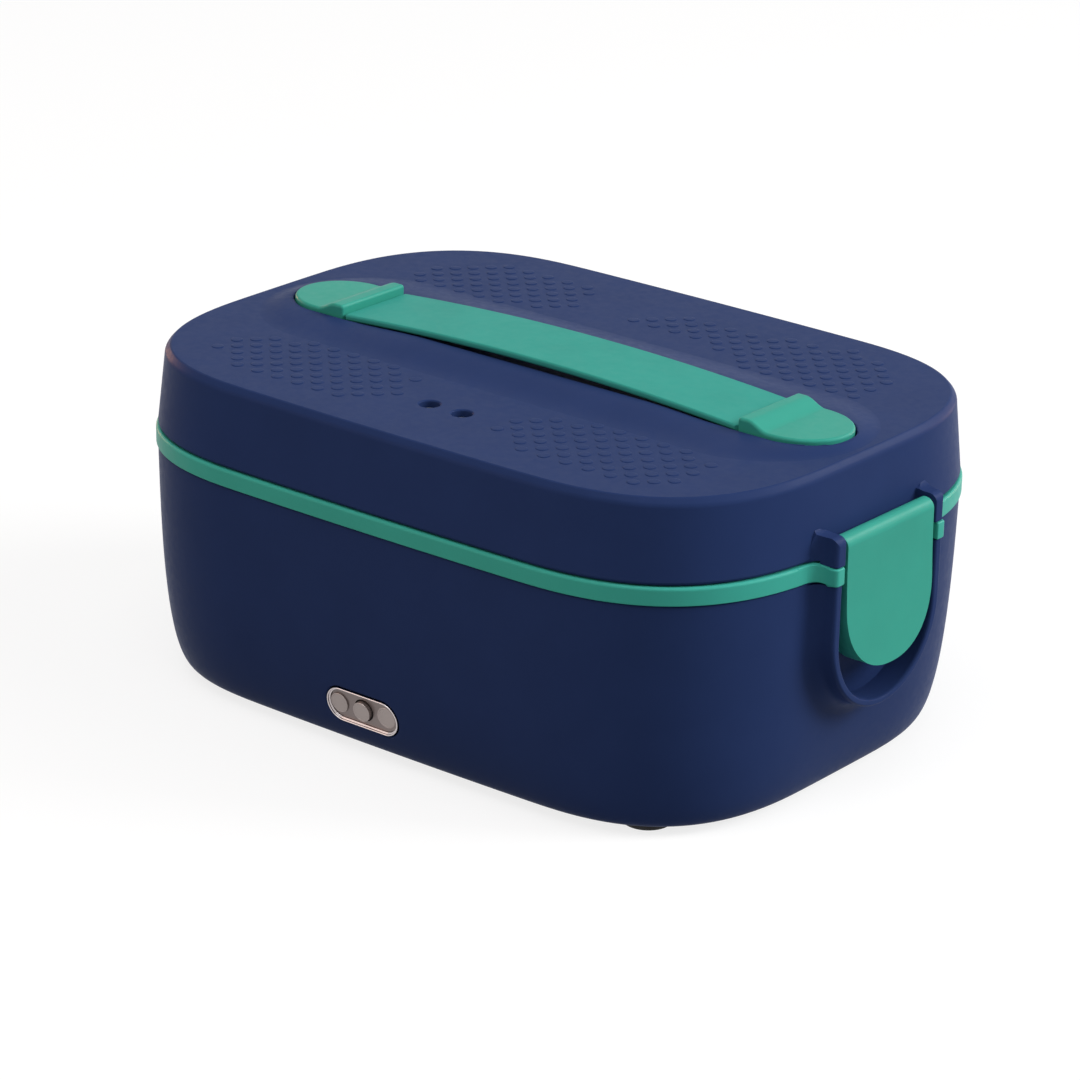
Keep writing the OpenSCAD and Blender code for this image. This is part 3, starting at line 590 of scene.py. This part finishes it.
def foot():
    """A rubber foot with a shallow dish in its sole."""
    tread = FOOT_R - FOOT_EDGE
    profile = [(0, 0.5), (5.4, 0.5), (5.9, 0), (tread, 0)]
    profile += arc((tread, FOOT_EDGE), FOOT_EDGE, -90, 0, 4)[1:]
    profile += [(FOOT_R, FOOT_TOP), (0, FOOT_TOP)]
    return turned(profile, (FEET_X, FEET_Y, 0))


def rubber_feet():
    one = foot()
    feet = [one, copy_of(one, MIRROR_X), copy_of(one, MIRROR_Y), copy_of(one, MIRROR_X @ MIRROR_Y)]
    complete(join(feet), "feet", RUBBER, ["rubber_feet"], "base")


def heating_chamber():
    """The tub that the container stands in, with a rim that rests on the base."""
    inside = [(-14.2, 31), (-15.4, 27.4), (-18, 24.4), (-22, 22.6), (-26, 22)]
    outside = [(-24.2, 20), (-19, 21), (-14.4, 24.6), (-11.4, 30), (-10.2, 36), (-10.2, TUB_WALL)]
    rim = [(-3, TUB_WALL), (-3, 79.2), (-3.4, TUB_TOP), (-11.4, TUB_TOP), (-12, 79.1), (-12, 36.5)]
    piece = sweep(outside + rim + inside, closed=False)
    complete(piece, "heating_tub", CHAMBER, ["heating_chamber"], "base")


# --- Power inlet --------------------------------------------------------------------------------

def at_inlet(piece):
    piece.data.transform(INLET_FRAME)
    return piece


def oval_plate(inset, low, high):
    """A slice of the inlet's outline, drawn in by inset."""
    outline = oval(INLET_WIDE - 2 * inset, INLET_HIGH - 2 * inset, 24)
    return plate([(x, y, low) for x, y in outline], (0, 0, high - low))


# Each contact's name, place along the inlet, radius and height
CONTACTS = (("left", -9.7, 3.4, -0.35), ("center", 0, EARTH_R, 0.55), ("right", 8.9, 3.6, -0.8))


def inlet():
    rim = oval_plate(0, RIM_BACK, 0.2)
    combine(rim, oval_plate(RIM_WIDE, -0.45, 3))
    combine(rim, oval_plate(2 * RIM_WIDE, -3, 3))
    bevel(rim, 0.21, 4)
    complete(at_inlet(rim), "inlet_rim", CHROME, ["inlet_bezel"], "base")
    face = oval_plate(2 * RIM_WIDE + 0.05, RIM_BACK, FACE_FRONT)
    well = EARTH_R + EARTH_GAP
    combine(face, turned([(0, -3), (well, -3), (well, 3), (0, 3)], (0, 0, 0)))
    bevel(face, 0.1, 2)
    complete(at_inlet(face), "inlet_face", PLATE_METAL, ["inlet_plate"], "base")
    for name, x, r, top in CONTACTS:
        edge = arc((r - 0.25, top - 0.25), 0.25, 0, 90, 4)
        ridge = [(r - 0.55, top), (r - 0.62, top - 0.08), (0, top - 0.08)]
        disc = turned([(0, -1.8), (r, -1.8)] + edge + ridge, (x, 0, 0))
        complete(at_inlet(disc), f"inlet_contact_{name}", CONTACT_METAL,
                 [f"contact_{name}"], "base")


# --- Container ----------------------------------------------------------------------------------

def food_container():
    """A deep drawn steel tray with a flat lip whose edge is rolled under."""
    inside = [(-13.8, 82.4), (-14.0, 60), (-14.8, 40), (-15.6, 33), (-17.4, 28.6), (-20.6, 25.6),
              (-25, 24.5), (-29.3, 24.4)]
    outside = [(-29, 23.6), (-24.7, 23.7), (-19.8, 24.9), (-16.7, 28.2), (-14.8, 32.8), (-14, 40),
               (-13.2, 60), (-13, 83.0)]
    lip = [(-4.3, 83.0), (-4, 83.4), (-4.3, 83.8), (-13.0, 83.8), (-13.6, 83.3)]
    piece = sweep(outside + lip + inside, closed=False)
    complete(piece, "steel_tray", STEEL, ["food_container"], "container", crease=35)


# --- Lid ----------------------------------------------------------------------------------------

def lid_offset(z):
    return -LID_DRAFT * (z - LID_Z) / (LID_TOP - LID_Z)


def lid_skin():
    """The lid's leaning wall and top, with a broad round edge between them."""
    start = lid_offset(LID_TOP - LID_EDGE)
    edge = arc((start - LID_BEND, LID_TOP - LID_EDGE), LID_BEND, 0, LID_BEND_TURN, 6)
    edge += [(start - 1.42, LID_TOP - 0.5), (start - 1.72, LID_TOP - 0.22), (start - 2.2, LID_TOP)]
    walls = [(lid_offset(z), z) for z in (84.3, 88, 93, 98, 103)]
    inside = [(lid_offset(106.6) - WALL - 2, 106.6), (lid_offset(106.6) - WALL, 104.6), (-WALL, LID_Z)]
    return sweep(inside + [(-1.0, LID_Z), (-0.35, 83.75)] + walls + edge, closed=False)


def ear():
    """One of the plates that hold a hinge pin, with a small horn where it meets the lid's wall."""
    outline = flared_plan(GUARD_HALF, GUARD_HALF - EAR_WIDE, EAR_OFFSET, GUARD_X, 1.3)
    outline = [(x, y) for x, y in outline if y < GUARD_HALF + GUARD_FLARE - 0.1]
    piece = plate([(x, y, EAR_Z - 1) for x, y in outline], (0, 0, EAR_HIGH))
    for vertex in piece.data.vertices:
        x, y, z = vertex.co / MM
        if z > EAR_Z:
            near_wall = min((GUARD_X - x) / (GUARD_X - end_wall_x(y, EAR_OFFSET)), 1)
            vertex.co.x += near_wall * (lid_offset(z) - EAR_OFFSET) * MM
    side = [(SIDE_ROOT, LID_Z + 0.2), (EAR_FOOT_X, LID_Z + 0.2), (EAR_FOOT_X, EAR_Z), (GUARD_X + 1, EAR_Z)]
    side += [(GUARD_X + 1, EAR_TOP - EAR_ROUND)]
    side += arc((GUARD_X - EAR_ROUND, EAR_TOP - EAR_ROUND), EAR_ROUND, 0, 90, 8)
    run = GUARD_X - EAR_ROUND - HORN_X
    side += [(GUARD_X - EAR_ROUND - run * k / 8, EAR_TOP + (HORN_Z - EAR_TOP) * (k / 8) ** 4)
             for k in range(1, 9)]
    side += [(SIDE_ROOT, HORN_Z)]
    combine(piece, plate([(x, 10, z) for x, z in side], (0, 40, 0)), "INTERSECT")
    spread = [EAR_WING * k / 10 for k in range(11)]
    wing = [(GUARD_HALF + d, HORN_Z - EAR_SLOPE * d - EAR_DROOP * d * d) for d in spread]
    outline = [(20, EAR_Z - 2), (20, HORN_Z + 1), (GUARD_HALF - 1, HORN_Z + 1)] + wing
    outline += [(GUARD_HALF + EAR_WING, EAR_Z - 2)]
    combine(piece, plate([(110, y, z) for y, z in outline], (30, 0, 0)), "INTERSECT")
    bevel(piece, 0.8, 3, 50)
    hollow = [(20, 0.05), (22.6, 0.15), (24.6, 0.55), (26.0, 1.2), (27.0, 2.1), (27.2, 4), (20, 4)]
    combine(piece, plate([(110, y, EAR_TOP + rise) for y, rise in hollow], (30, 0, 0)))
    return piece


def inside_outline(point, outline):
    """Whether a point lies inside a closed outline."""
    x, y = point
    crossings = 0
    for (x0, y0), (x1, y1) in zip(outline, outline[1:] + outline[:1]):
        if (y0 > y) != (y1 > y) and x < x0 + (y - y0) * (x1 - x0) / (y1 - y0):
            crossings += 1
    return crossings % 2 == 1


# Outlines of the four patches of dots, as (x, y)
DOT_PATCHES = [
    [(-89, -42), (-64, -33), (-42, -33), (-22, -39), (-17, -52), (-22, -65), (-34, -70), (-76, -70),
     (-89, -60)],
    [(24.5, -42), (49.5, -33), (71.5, -33), (91, -39), (96, -52), (91, -65), (79, -70), (37.5, -70),
     (24.5, -60)],
    [(-13, 51), (2, 64), (36, 68), (56, 73), (76, 71), (87, 62), (91, 44), (87, 35), (40, 35), (28, 46),
     (4, 47)],
    [(-95, 42), (-89, 58), (-72, 70), (-44, 70), (-34, 62), (-31, 50), (-40, 38), (-60, 34), (-92, 35)]]


def dots():
    """Low round dots, in staggered rows within each patch."""
    rows, columns = 12, 16
    dome = [(0, DOT_ROOT), (DOT_R, DOT_ROOT), (DOT_R - 0.12, 0.45 * DOT_RISE), (DOT_R - 0.3, 0.8 * DOT_RISE),
            (DOT_R - 0.6, DOT_RISE), (0, DOT_RISE)]
    one = turned(dome, (0, 0, LID_TOP), steps=16)
    made = []
    for patch in DOT_PATCHES:
        left, low = min(x for x, _ in patch), min(y for _, y in patch)
        for row in range(rows):
            for column in range(columns):
                x = left + DOT_PITCH * (column + row % 2 / 2)
                y = low + DOT_ROW * (row + 0.5)
                if inside_outline((x, y), patch):
                    made.append(copy_of(one, Matrix.Translation(Vector((x, y, 0)) * MM)))
    bpy.data.objects.remove(one)
    return join(made)


def long_oval(half, width, sides=24, ends=40):
    """An oval as long as twice half, with extra points along its straight sides."""
    run = half - width / 2
    straight = [run * (1 - 2 * k / sides) for k in range(1, sides)]
    return (arc((run, 0), width / 2, -90, 90, ends) + [(x, width / 2) for x in straight]
            + arc((-run, 0), width / 2, 90, 270, ends) + [(-x, -width / 2) for x in straight])


def arch_at(x):
    """1 along the middle of the handle, falling smoothly to 0 at the caps."""
    across = min(max((abs(x) - ARCH_FLAT) / ARCH_FALL, 0), 1)
    return (1 + math.cos(math.pi * across)) / 2


def crown():
    """The low swelling of the lid's top that rises to the rim of the handle's pocket."""
    inner = long_oval(HANDLE_HALF - 1, CAP_WIDTH - 2)
    outer = long_oval(HANDLE_HALF + CROWN_END, CAP_WIDTH + 2 * CROWN_SIDE)
    shift = CROWN_RIGHT - (HANDLE_X + HANDLE_HALF + CROWN_END)
    rings = [(1, LID_TOP - 2)]
    for k in range(CROWN_STEPS + 1):
        across = 1 - k / CROWN_STEPS
        rise = (1 + math.cos(math.pi * max(across - CROWN_RIM, 0) / (1 - CROWN_RIM))) / 2
        rings.append((across, LID_TOP - CROWN_SINK + (CROWN_Z + CROWN_SINK - LID_TOP) * rise))
    deselect()
    ops.mesh.primitive_circle_add(vertices=len(inner), radius=1, fill_type="NGON")
    piece = bpy.context.object
    start_editing(piece)
    for step, (across, z) in enumerate(rings):
        if step:
            ops.mesh.extrude_region()
        mesh = bmesh.from_edit_mesh(piece.data)
        moving = sorted((v for v in mesh.verts if v.select), key=round_order)
        places = []
        for a, b in zip(inner, outer):
            x = a[0] + (b[0] + shift - a[0]) * across
            lift = CROWN_ARCH * (z - LID_TOP) / (CROWN_Z - LID_TOP) * arch_at(x)
            places.append(Vector((HANDLE_X + x, a[1] + (b[1] - a[1]) * across, z + max(lift, 0))) * MM)
        order = sorted(range(len(inner)), key=lambda i: turn_of(inner[i]))
        for vertex, i in zip(moving, order):
            vertex.co = places[i]
        bmesh.update_edit_mesh(piece.data)
    stop_editing()
    face_outwards(piece)
    return piece


def vent_centre(side, z):
    return VENT_X + side * VENT_PITCH / 2, VENT_Y, z


def lid_shell():
    piece = lid_skin()
    well = oval(2 * (HANDLE_HALF + POCKET_GAP), CAP_WIDTH + 2 * POCKET_GAP, CAP_STEPS, CAP_STRETCH)
    plinth = oval(2 * (HANDLE_HALF + POCKET_GAP + WALL), CAP_WIDTH + 2 * POCKET_GAP + 2 * WALL, CAP_STEPS)
    combine(piece, plate([(x + HANDLE_X, y, POCKET_Z - WALL) for x, y in plinth], (0, 0, 4)), "UNION")
    combine(piece, crown(), "UNION")
    combine(piece, plate([(x + HANDLE_X, y, POCKET_Z) for x, y in well], (0, 0, 7)))
    for side in (-1, 1):
        vent = [(0, -5), (VENT_R, -5), (VENT_R, 5), (0, 5)]
        combine(piece, turned(vent, vent_centre(side, LID_TOP)))
    top = LID_TOP * MM - HAIR
    round_edges(piece, lambda edge: min(v.co.z for v in edge.verts) > top
                and any(abs(f.normal.z) < 0.2 for f in edge.link_faces), 0.7, 4)
    one = ear()
    for part in (copy_of(one, MIRROR_X), copy_of(one, MIRROR_Y), copy_of(one, MIRROR_X @ MIRROR_Y), one):
        combine(piece, part, "UNION")
    piece = join([piece, dots()])
    complete(piece, "lid_casing", NAVY, ["lid_shell"], "lid", crease=18)


def lid_underside():
    """The lining, with a tube up to each vent, and the seal in its groove."""
    piece = sweep([(-11.5, 84.7), (-10.7, 84.7), (-10.7, 86.6), (-6.3, 86.6), (-6.3, 84.7), (-5.5, 84.7),
                   (-3.2, 87), (-3.2, 88.6)], closed=False)
    tube_r = VENT_R + VENT_WALL
    for side in (-1, 1):
        centre = vent_centre(side, 0)
        tube = turned([(0, 86), (tube_r, 86), (tube_r, 106.5), (0, 106.5)], centre)
        combine(piece, tube, "UNION")
        combine(piece, turned([(0, 80), (VENT_R, 80), (VENT_R, 110), (0, 110)], centre))
    complete(piece, "lid_lining", LINER, ["lid_liner"], "lid")
    seal = sweep([(-10.6, 84.9)] + arc((-9.8, 84.9), 0.8, 180, 270, 4)[1:]
                 + arc((-7.2, 84.9), 0.8, 270, 360, 4) + [(-6.4, 86.5), (-10.6, 86.5)])
    complete(seal, "lid_seal", SILICONE, ["lid_gasket"], "lid")


# --- Handle -------------------------------------------------------------------------------------

def handle_cap():
    """The right-hand cap: a flat round end that sweeps up to a lip over the strap."""
    face = STRAP_FACE
    side = [(face, POCKET_Z), (HANDLE_HALF + 1, POCKET_Z), (HANDLE_HALF + 1, CAP_FLAT)]
    for k in range(LIP_STEPS + 1):
        lift = (1 - math.cos(math.pi * k / LIP_STEPS)) / 2
        side.append((face + LIP_FLAT + LIP_RUN * (1 - k / LIP_STEPS),
                     CAP_FLAT + (LIP_TOP - CAP_FLAT) * lift))
    side += arc((face + LIP_ROUND, LIP_TOP - LIP_ROUND), LIP_ROUND, 90, 180, 6)
    piece = plate([(x, -CAP_WIDTH / 2 - 1, z) for x, z in side], (0, CAP_WIDTH + 2, 0))
    outline = [(x, y) for x, y in oval(2 * HANDLE_HALF, CAP_WIDTH, CAP_STEPS, CAP_STRETCH) if x > 0]
    outline = [(face - 1, -CAP_WIDTH / 2)] + outline + [(face - 1, CAP_WIDTH / 2)]
    combine(piece, plate([(x, y, POCKET_Z - 1) for x, y in outline], (0, 0, 12)), "INTERSECT")
    bevel(piece, 1.0, 5, 50)
    corners = [(-SLOT_WIDTH / 2, SLOT_Z), (SLOT_WIDTH / 2, SLOT_Z),
               (SLOT_WIDTH / 2, SLOT_Z + SLOT_HIGH), (-SLOT_WIDTH / 2, SLOT_Z + SLOT_HIGH)]
    combine(piece, plate([(face - 1, y, z) for y, z in corners], (SLOT_DEEP, 0, 0)))
    return piece


def strap_half():
    """Half of the strap, from the slot in the right-hand cap to the middle."""
    def under(x):
        return STRAP_END + STRAP_RISE * max(0, 1 - (x / STRAP_FACE) ** 2)

    places = [(STRAP_FACE - STRAP_GAP) * (1 - k / STRAP_STEPS) for k in range(STRAP_STEPS + 1)]
    side = [(x, under(x)) for x in places] + [(x, under(x) + STRAP_THICK) for x in places[::-1]]
    piece = plate([(x, -STRAP_WIDTH / 2, z) for x, z in side], (0, STRAP_WIDTH, 0))
    half = STRAP_WIDTH / 2 * MM - HAIR
    round_edges(piece, lambda edge: all(abs(v.co.y) > half for v in edge.verts)
                and max(v.co.x for v in edge.verts) > 0.0001, 0.85, 5)
    for side in (-1, 1):
        corner = [(STRAP_FACE - CORNER_CUT_X, side * (half / MM + 1)),
                  (STRAP_FACE + 1, side * (half / MM + 1)),
                  (STRAP_FACE + 1, side * (half / MM - CORNER_CUT_Y))]
        combine(piece, plate([(x, y, STRAP_END - 2) for x, y in corner], (0, 0, 8)))
    start, end = STRAP_FACE - 1, STRAP_FACE + SLOT_DEEP - 1
    low, high = STRAP_END + 0.05, STRAP_END + INSERT_THICK
    corners = [(start, -INSERT_WIDTH / 2), (end, -INSERT_WIDTH / 2),
               (end, INSERT_WIDTH / 2), (start, INSERT_WIDTH / 2)]
    combine(piece, plate([(x, y, low) for x, y in corners], (0, 0, high - low)), "UNION")
    return piece


def handle():
    centre = Matrix.Translation((HANDLE_X * MM, 0, 0))
    cap, half = handle_cap(), strap_half()
    for name, side, matrix, used in (("left", -1, centre @ MIRROR_X, ["strap_flex_left", "strap_grip"]),
                                     ("right", 1, centre, ["strap_flex_right"])):
        complete(copy_of(cap, matrix), f"handle_cap_{name}", GREEN, [f"cap_{name}"], "lid")
        strap = complete(copy_of(half, matrix), f"strap_{name}", STRAP_GREEN, used)
        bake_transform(strap)
    bpy.data.objects.remove(cap)
    bpy.data.objects.remove(half)


# --- Latches ------------------------------------------------------------------------------------

def tongue_outline(half, foot, top):
    """Straight sides and a full round foot, as (y, z)."""
    turns = [math.radians(180 * k / 48) for k in range(49)]
    bowl = [(-half * math.copysign(abs(math.cos(t)) ** FOOT_POWER, math.cos(t)),
             foot + half * (1 - math.sin(t) ** FOOT_POWER)) for t in turns]
    return [(-half, top)] + bowl + [(half, top)]


def face_at(z):
    """Where a tongue's face stands, which leans out towards its foot."""
    return FACE_X + TONGUE_LEAN * (max(PIN_Z - z, 0) / (PIN_Z - TONGUE_Z)) ** 2


def behind_face(inset):
    """A block that fills everything behind the face, or behind a line that far inside it."""
    heights = [PIN_Z + (TONGUE_Z - 1 - PIN_Z) * k / 16 for k in range(17)]
    side = [(face_at(z) - inset, z) for z in heights] + [(SKIRT_X - 3, TONGUE_Z - 1), (SKIRT_X - 3, PIN_Z)]
    return plate([(x, -TONGUE_HALF - 2, z) for x, z in side], (0, 2 * TONGUE_HALF + 4, 0))


def latch():
    """The right-hand latch: a leaning tongue with a skirt behind it, a rolled top and a hook."""
    outside = tongue_outline(TONGUE_HALF, TONGUE_Z, PIN_Z)
    piece = plate([(SKIRT_X, y, z) for y, z in outside], (12, 0, 0))
    combine(piece, behind_face(0), "INTERSECT")
    inside = tongue_outline(TONGUE_HALF - SKIRT_THICK, TONGUE_Z + SKIRT_THICK, PIN_Z + 1)
    hollow = plate([(SKIRT_X - 1, y, z) for y, z in inside], (12, 0, 0))
    combine(hollow, behind_face(TONGUE_THICK), "INTERSECT")
    combine(piece, hollow)
    back = FACE_X - TONGUE_THICK
    top = [(SKIRT_X - 1, PIN_Z - 5), (back, PIN_Z - 5), (back, PIN_Z + 1), (SKIRT_X - 1, PIN_Z + 1)]
    combine(piece, plate([(x, -TONGUE_HALF - 1, z) for x, z in top], (0, 2 * TONGUE_HALF + 2, 0)))
    barrel = arc((PIN_X, PIN_Z), BARREL_R, 0, 360, 48)[:-1]
    combine(piece, plate([(x, -TONGUE_HALF, z) for x, z in barrel], (0, 2 * TONGUE_HALF, 0)), "UNION")
    hook = [(122, 49.6), (127.6, 49.6), (127.6, 52.6), (122.6, 52.6), (122, 52.2)]
    combine(piece, plate([(x, -HOOK_HALF, z) for x, z in hook], (0, 2 * HOOK_HALF, 0)), "UNION")
    bevel(piece, 0.75, 4, 50)
    bore = arc((PIN_X, PIN_Z), BORE_R, 0, 360, 32)[:-1]
    combine(piece, plate([(x, -TONGUE_HALF - 1, z) for x, z in bore], (0, 2 * TONGUE_HALF + 2, 0)))
    return piece


def latches():
    right = latch()
    left = copy_of(right, MIRROR_X)
    complete(right, "latch_tongue_right", GREEN, ["latch_right"], "latch_right")
    complete(left, "latch_tongue_left", GREEN, ["latch_left"], "latch_left")


# --- Pieces that stay as they are ---------------------------------------------------------------

KEPT = {"cover_screws": SCREW_STEEL, "clamp_screws": SCREW_STEEL, "cap_screws": SCREW_STEEL,
        "latch_pin_left": SCREW_STEEL, "latch_pin_right": SCREW_STEEL, "heating_plate": STEEL,
        "heater_clamp": STEEL, "ptc_heater": ALUMINIUM, "heat_shield": ALUMINIUM,
        "thermostat": CERAMIC, "thermal_fuse": CERAMIC, "inlet_housing": BLACK,
        "lead_live": BROWN_SLEEVE, "lead_earth": EARTH_SLEEVE, "lead_neutral": BLUE_SLEEVE}


def give_finishes():
    for node, finish in KEPT.items():
        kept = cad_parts[node]
        kept.data.materials.clear()
        kept.data.materials.append(finish)


base_shell()
rim_band()
base_underside()
rubber_feet()
heating_chamber()
inlet()
food_container()
lid_shell()
lid_underside()
handle()
latches()
give_finishes()


# --- Floor, light and camera --------------------------------------------------------------------

AMBIENT = 0.2
FLOOR_SIZE, FLOOR_SHADE, FLOOR_GLOW, FLOOR_BOUNCE = 9, 0.26, 0.8, 0.35
LIT_POINT = Vector((0, 0, 0.06))

# The camera, in degrees and metres
AZIMUTH, ELEVATION, ROLL = 38.509, 21.228, 1.305
LENS, SENSOR, DISTANCE = 138.29, 36, 1.313
TARGET = Vector((-0.003014, -0.002721, 0.05))


def seen_directly(nodes, links):
    """1 for the rays that show a surface itself, in view, mirrored or through a clear piece."""
    path = nodes.new("ShaderNodeLightPath")
    total = path.outputs["Is Camera Ray"]
    for ray in ("Is Glossy Ray", "Is Transmission Ray"):
        most = nodes.new("ShaderNodeMath")
        most.operation = "MAXIMUM"
        links.new(total, most.inputs[0])
        links.new(path.outputs[ray], most.inputs[1])
        total = most.outputs["Value"]
    return total


def floor():
    """A white floor that keeps the shadow, and sends only a little light back up."""
    deselect()
    ops.mesh.primitive_plane_add(size=FLOOR_SIZE)
    ground = bpy.context.object
    ground.name = "floor"
    made = bpy.data.materials.new("pale floor")
    made.use_nodes = True
    nodes, links = made.node_tree.nodes, made.node_tree.links
    shown = nodes["Principled BSDF"]
    shown.inputs["Base Color"].default_value = (FLOOR_SHADE, FLOOR_SHADE, FLOOR_SHADE, 1)
    shown.inputs["Roughness"].default_value = 0.9
    shown.inputs["Specular IOR Level"].default_value = 0.0
    shown.inputs["Emission Color"].default_value = (1, 1, 1, 1)
    shown.inputs["Emission Strength"].default_value = FLOOR_GLOW
    bounced = nodes.new("ShaderNodeBsdfDiffuse")
    bounced.inputs["Color"].default_value = (FLOOR_BOUNCE, FLOOR_BOUNCE, FLOOR_BOUNCE, 1)
    mix = nodes.new("ShaderNodeMixShader")
    links.new(seen_directly(nodes, links), mix.inputs["Fac"])
    links.new(bounced.outputs["BSDF"], mix.inputs[1])
    links.new(shown.outputs["BSDF"], mix.inputs[2])
    links.new(mix.outputs["Shader"], nodes["Material Output"].inputs["Surface"])
    ground.data.materials.append(made)


def lamp(name, place, size, level, colour=(1, 1, 1)):
    """A soft box at a place, in metres, that faces the box and gives it a level of light."""
    data = bpy.data.lights.new(name, "AREA")
    data.shape = "RECTANGLE"
    data.size, data.size_y = size
    reach = Vector(place) - LIT_POINT
    data.energy = level * math.pi ** 2 * reach.length_squared
    data.color = colour
    made = bpy.data.objects.new(name, data)
    made.location = place
    made.rotation_euler = reach.to_track_quat("Z", "Y").to_euler()
    made.visible_camera = False
    bpy.context.collection.objects.link(made)


def glint(name, place, size, brightness, colour=(1, 1, 1)):
    """A soft box that shows only as a highlight."""
    lamp(name, place, size, 0, colour)
    made = bpy.data.objects[name]
    made.data.energy = brightness * math.pi * size[0] * size[1]
    made.visible_diffuse = False


def lights():
    world = bpy.data.worlds.new("studio")
    world.use_nodes = True
    bpy.context.scene.world = world
    nodes, links = world.node_tree.nodes, world.node_tree.links
    ambient = nodes["Background"]
    ambient.inputs["Strength"].default_value = AMBIENT
    ambient.inputs["Color"].default_value = (1, 1, 1, 1)
    white = nodes.new("ShaderNodeBackground")
    white.inputs["Color"].default_value = (1, 1, 1, 1)
    mix = nodes.new("ShaderNodeMixShader")
    links.new(seen_directly(nodes, links), mix.inputs["Fac"])
    links.new(ambient.outputs["Background"], mix.inputs[1])
    links.new(white.outputs["Background"], mix.inputs[2])
    links.new(mix.outputs["Shader"], nodes["World Output"].inputs["Surface"])
    lamp("overhead", (0.2, -1.0, 2.8), (2.0, 2.0), 0.4)
    lamp("top_right", (1.1, 0.4, 1.2), (0.8, 0.8), 0.22)
    lamp("key", (2.2, 1.55, 1.4), (1.2, 1.2), 0.58)
    lamp("fill", (-1.9, -2.4, 1.1), (1.5, 1.5), 0.15, (1, 0.66, 0.5))
    glint("edge_glint", (1.0, 1.9, 1.5), (0.7, 0.7), 26)
    glint("left_glint", (-2.1, 0.45, 0.25), (0.5, 0.6), 14, (1, 0.48, 0.26))
    glint("right_glint", (0.4, 2.3, 0.25), (0.5, 0.6), 13, (1, 0.62, 0.46))


def camera():
    """Looks at the front right corner from above, through a long lens, with a slight roll."""
    azimuth, elevation, roll = math.radians(AZIMUTH), math.radians(ELEVATION), math.radians(ROLL)
    back = Vector((math.sin(azimuth) * math.cos(elevation), -math.cos(azimuth) * math.cos(elevation),
                   math.sin(elevation)))
    level = Vector((math.cos(azimuth), math.sin(azimuth), 0))
    upward = back.cross(level)
    right = level * math.cos(roll) + upward * math.sin(roll)
    up = upward * math.cos(roll) - level * math.sin(roll)
    data = bpy.data.cameras.new("camera")
    data.lens, data.sensor_width = LENS, SENSOR
    data.clip_start, data.clip_end = 0.05, 20
    made = bpy.data.objects.new("camera", data)
    turn = Matrix((right, up, back)).transposed().to_4x4()
    made.matrix_world = Matrix.Translation(TARGET + back * DISTANCE) @ turn
    bpy.context.collection.objects.link(made)
    bpy.context.scene.camera = made


floor()
lights()
camera()
bpy.context.scene.view_settings.view_transform = "Standard"
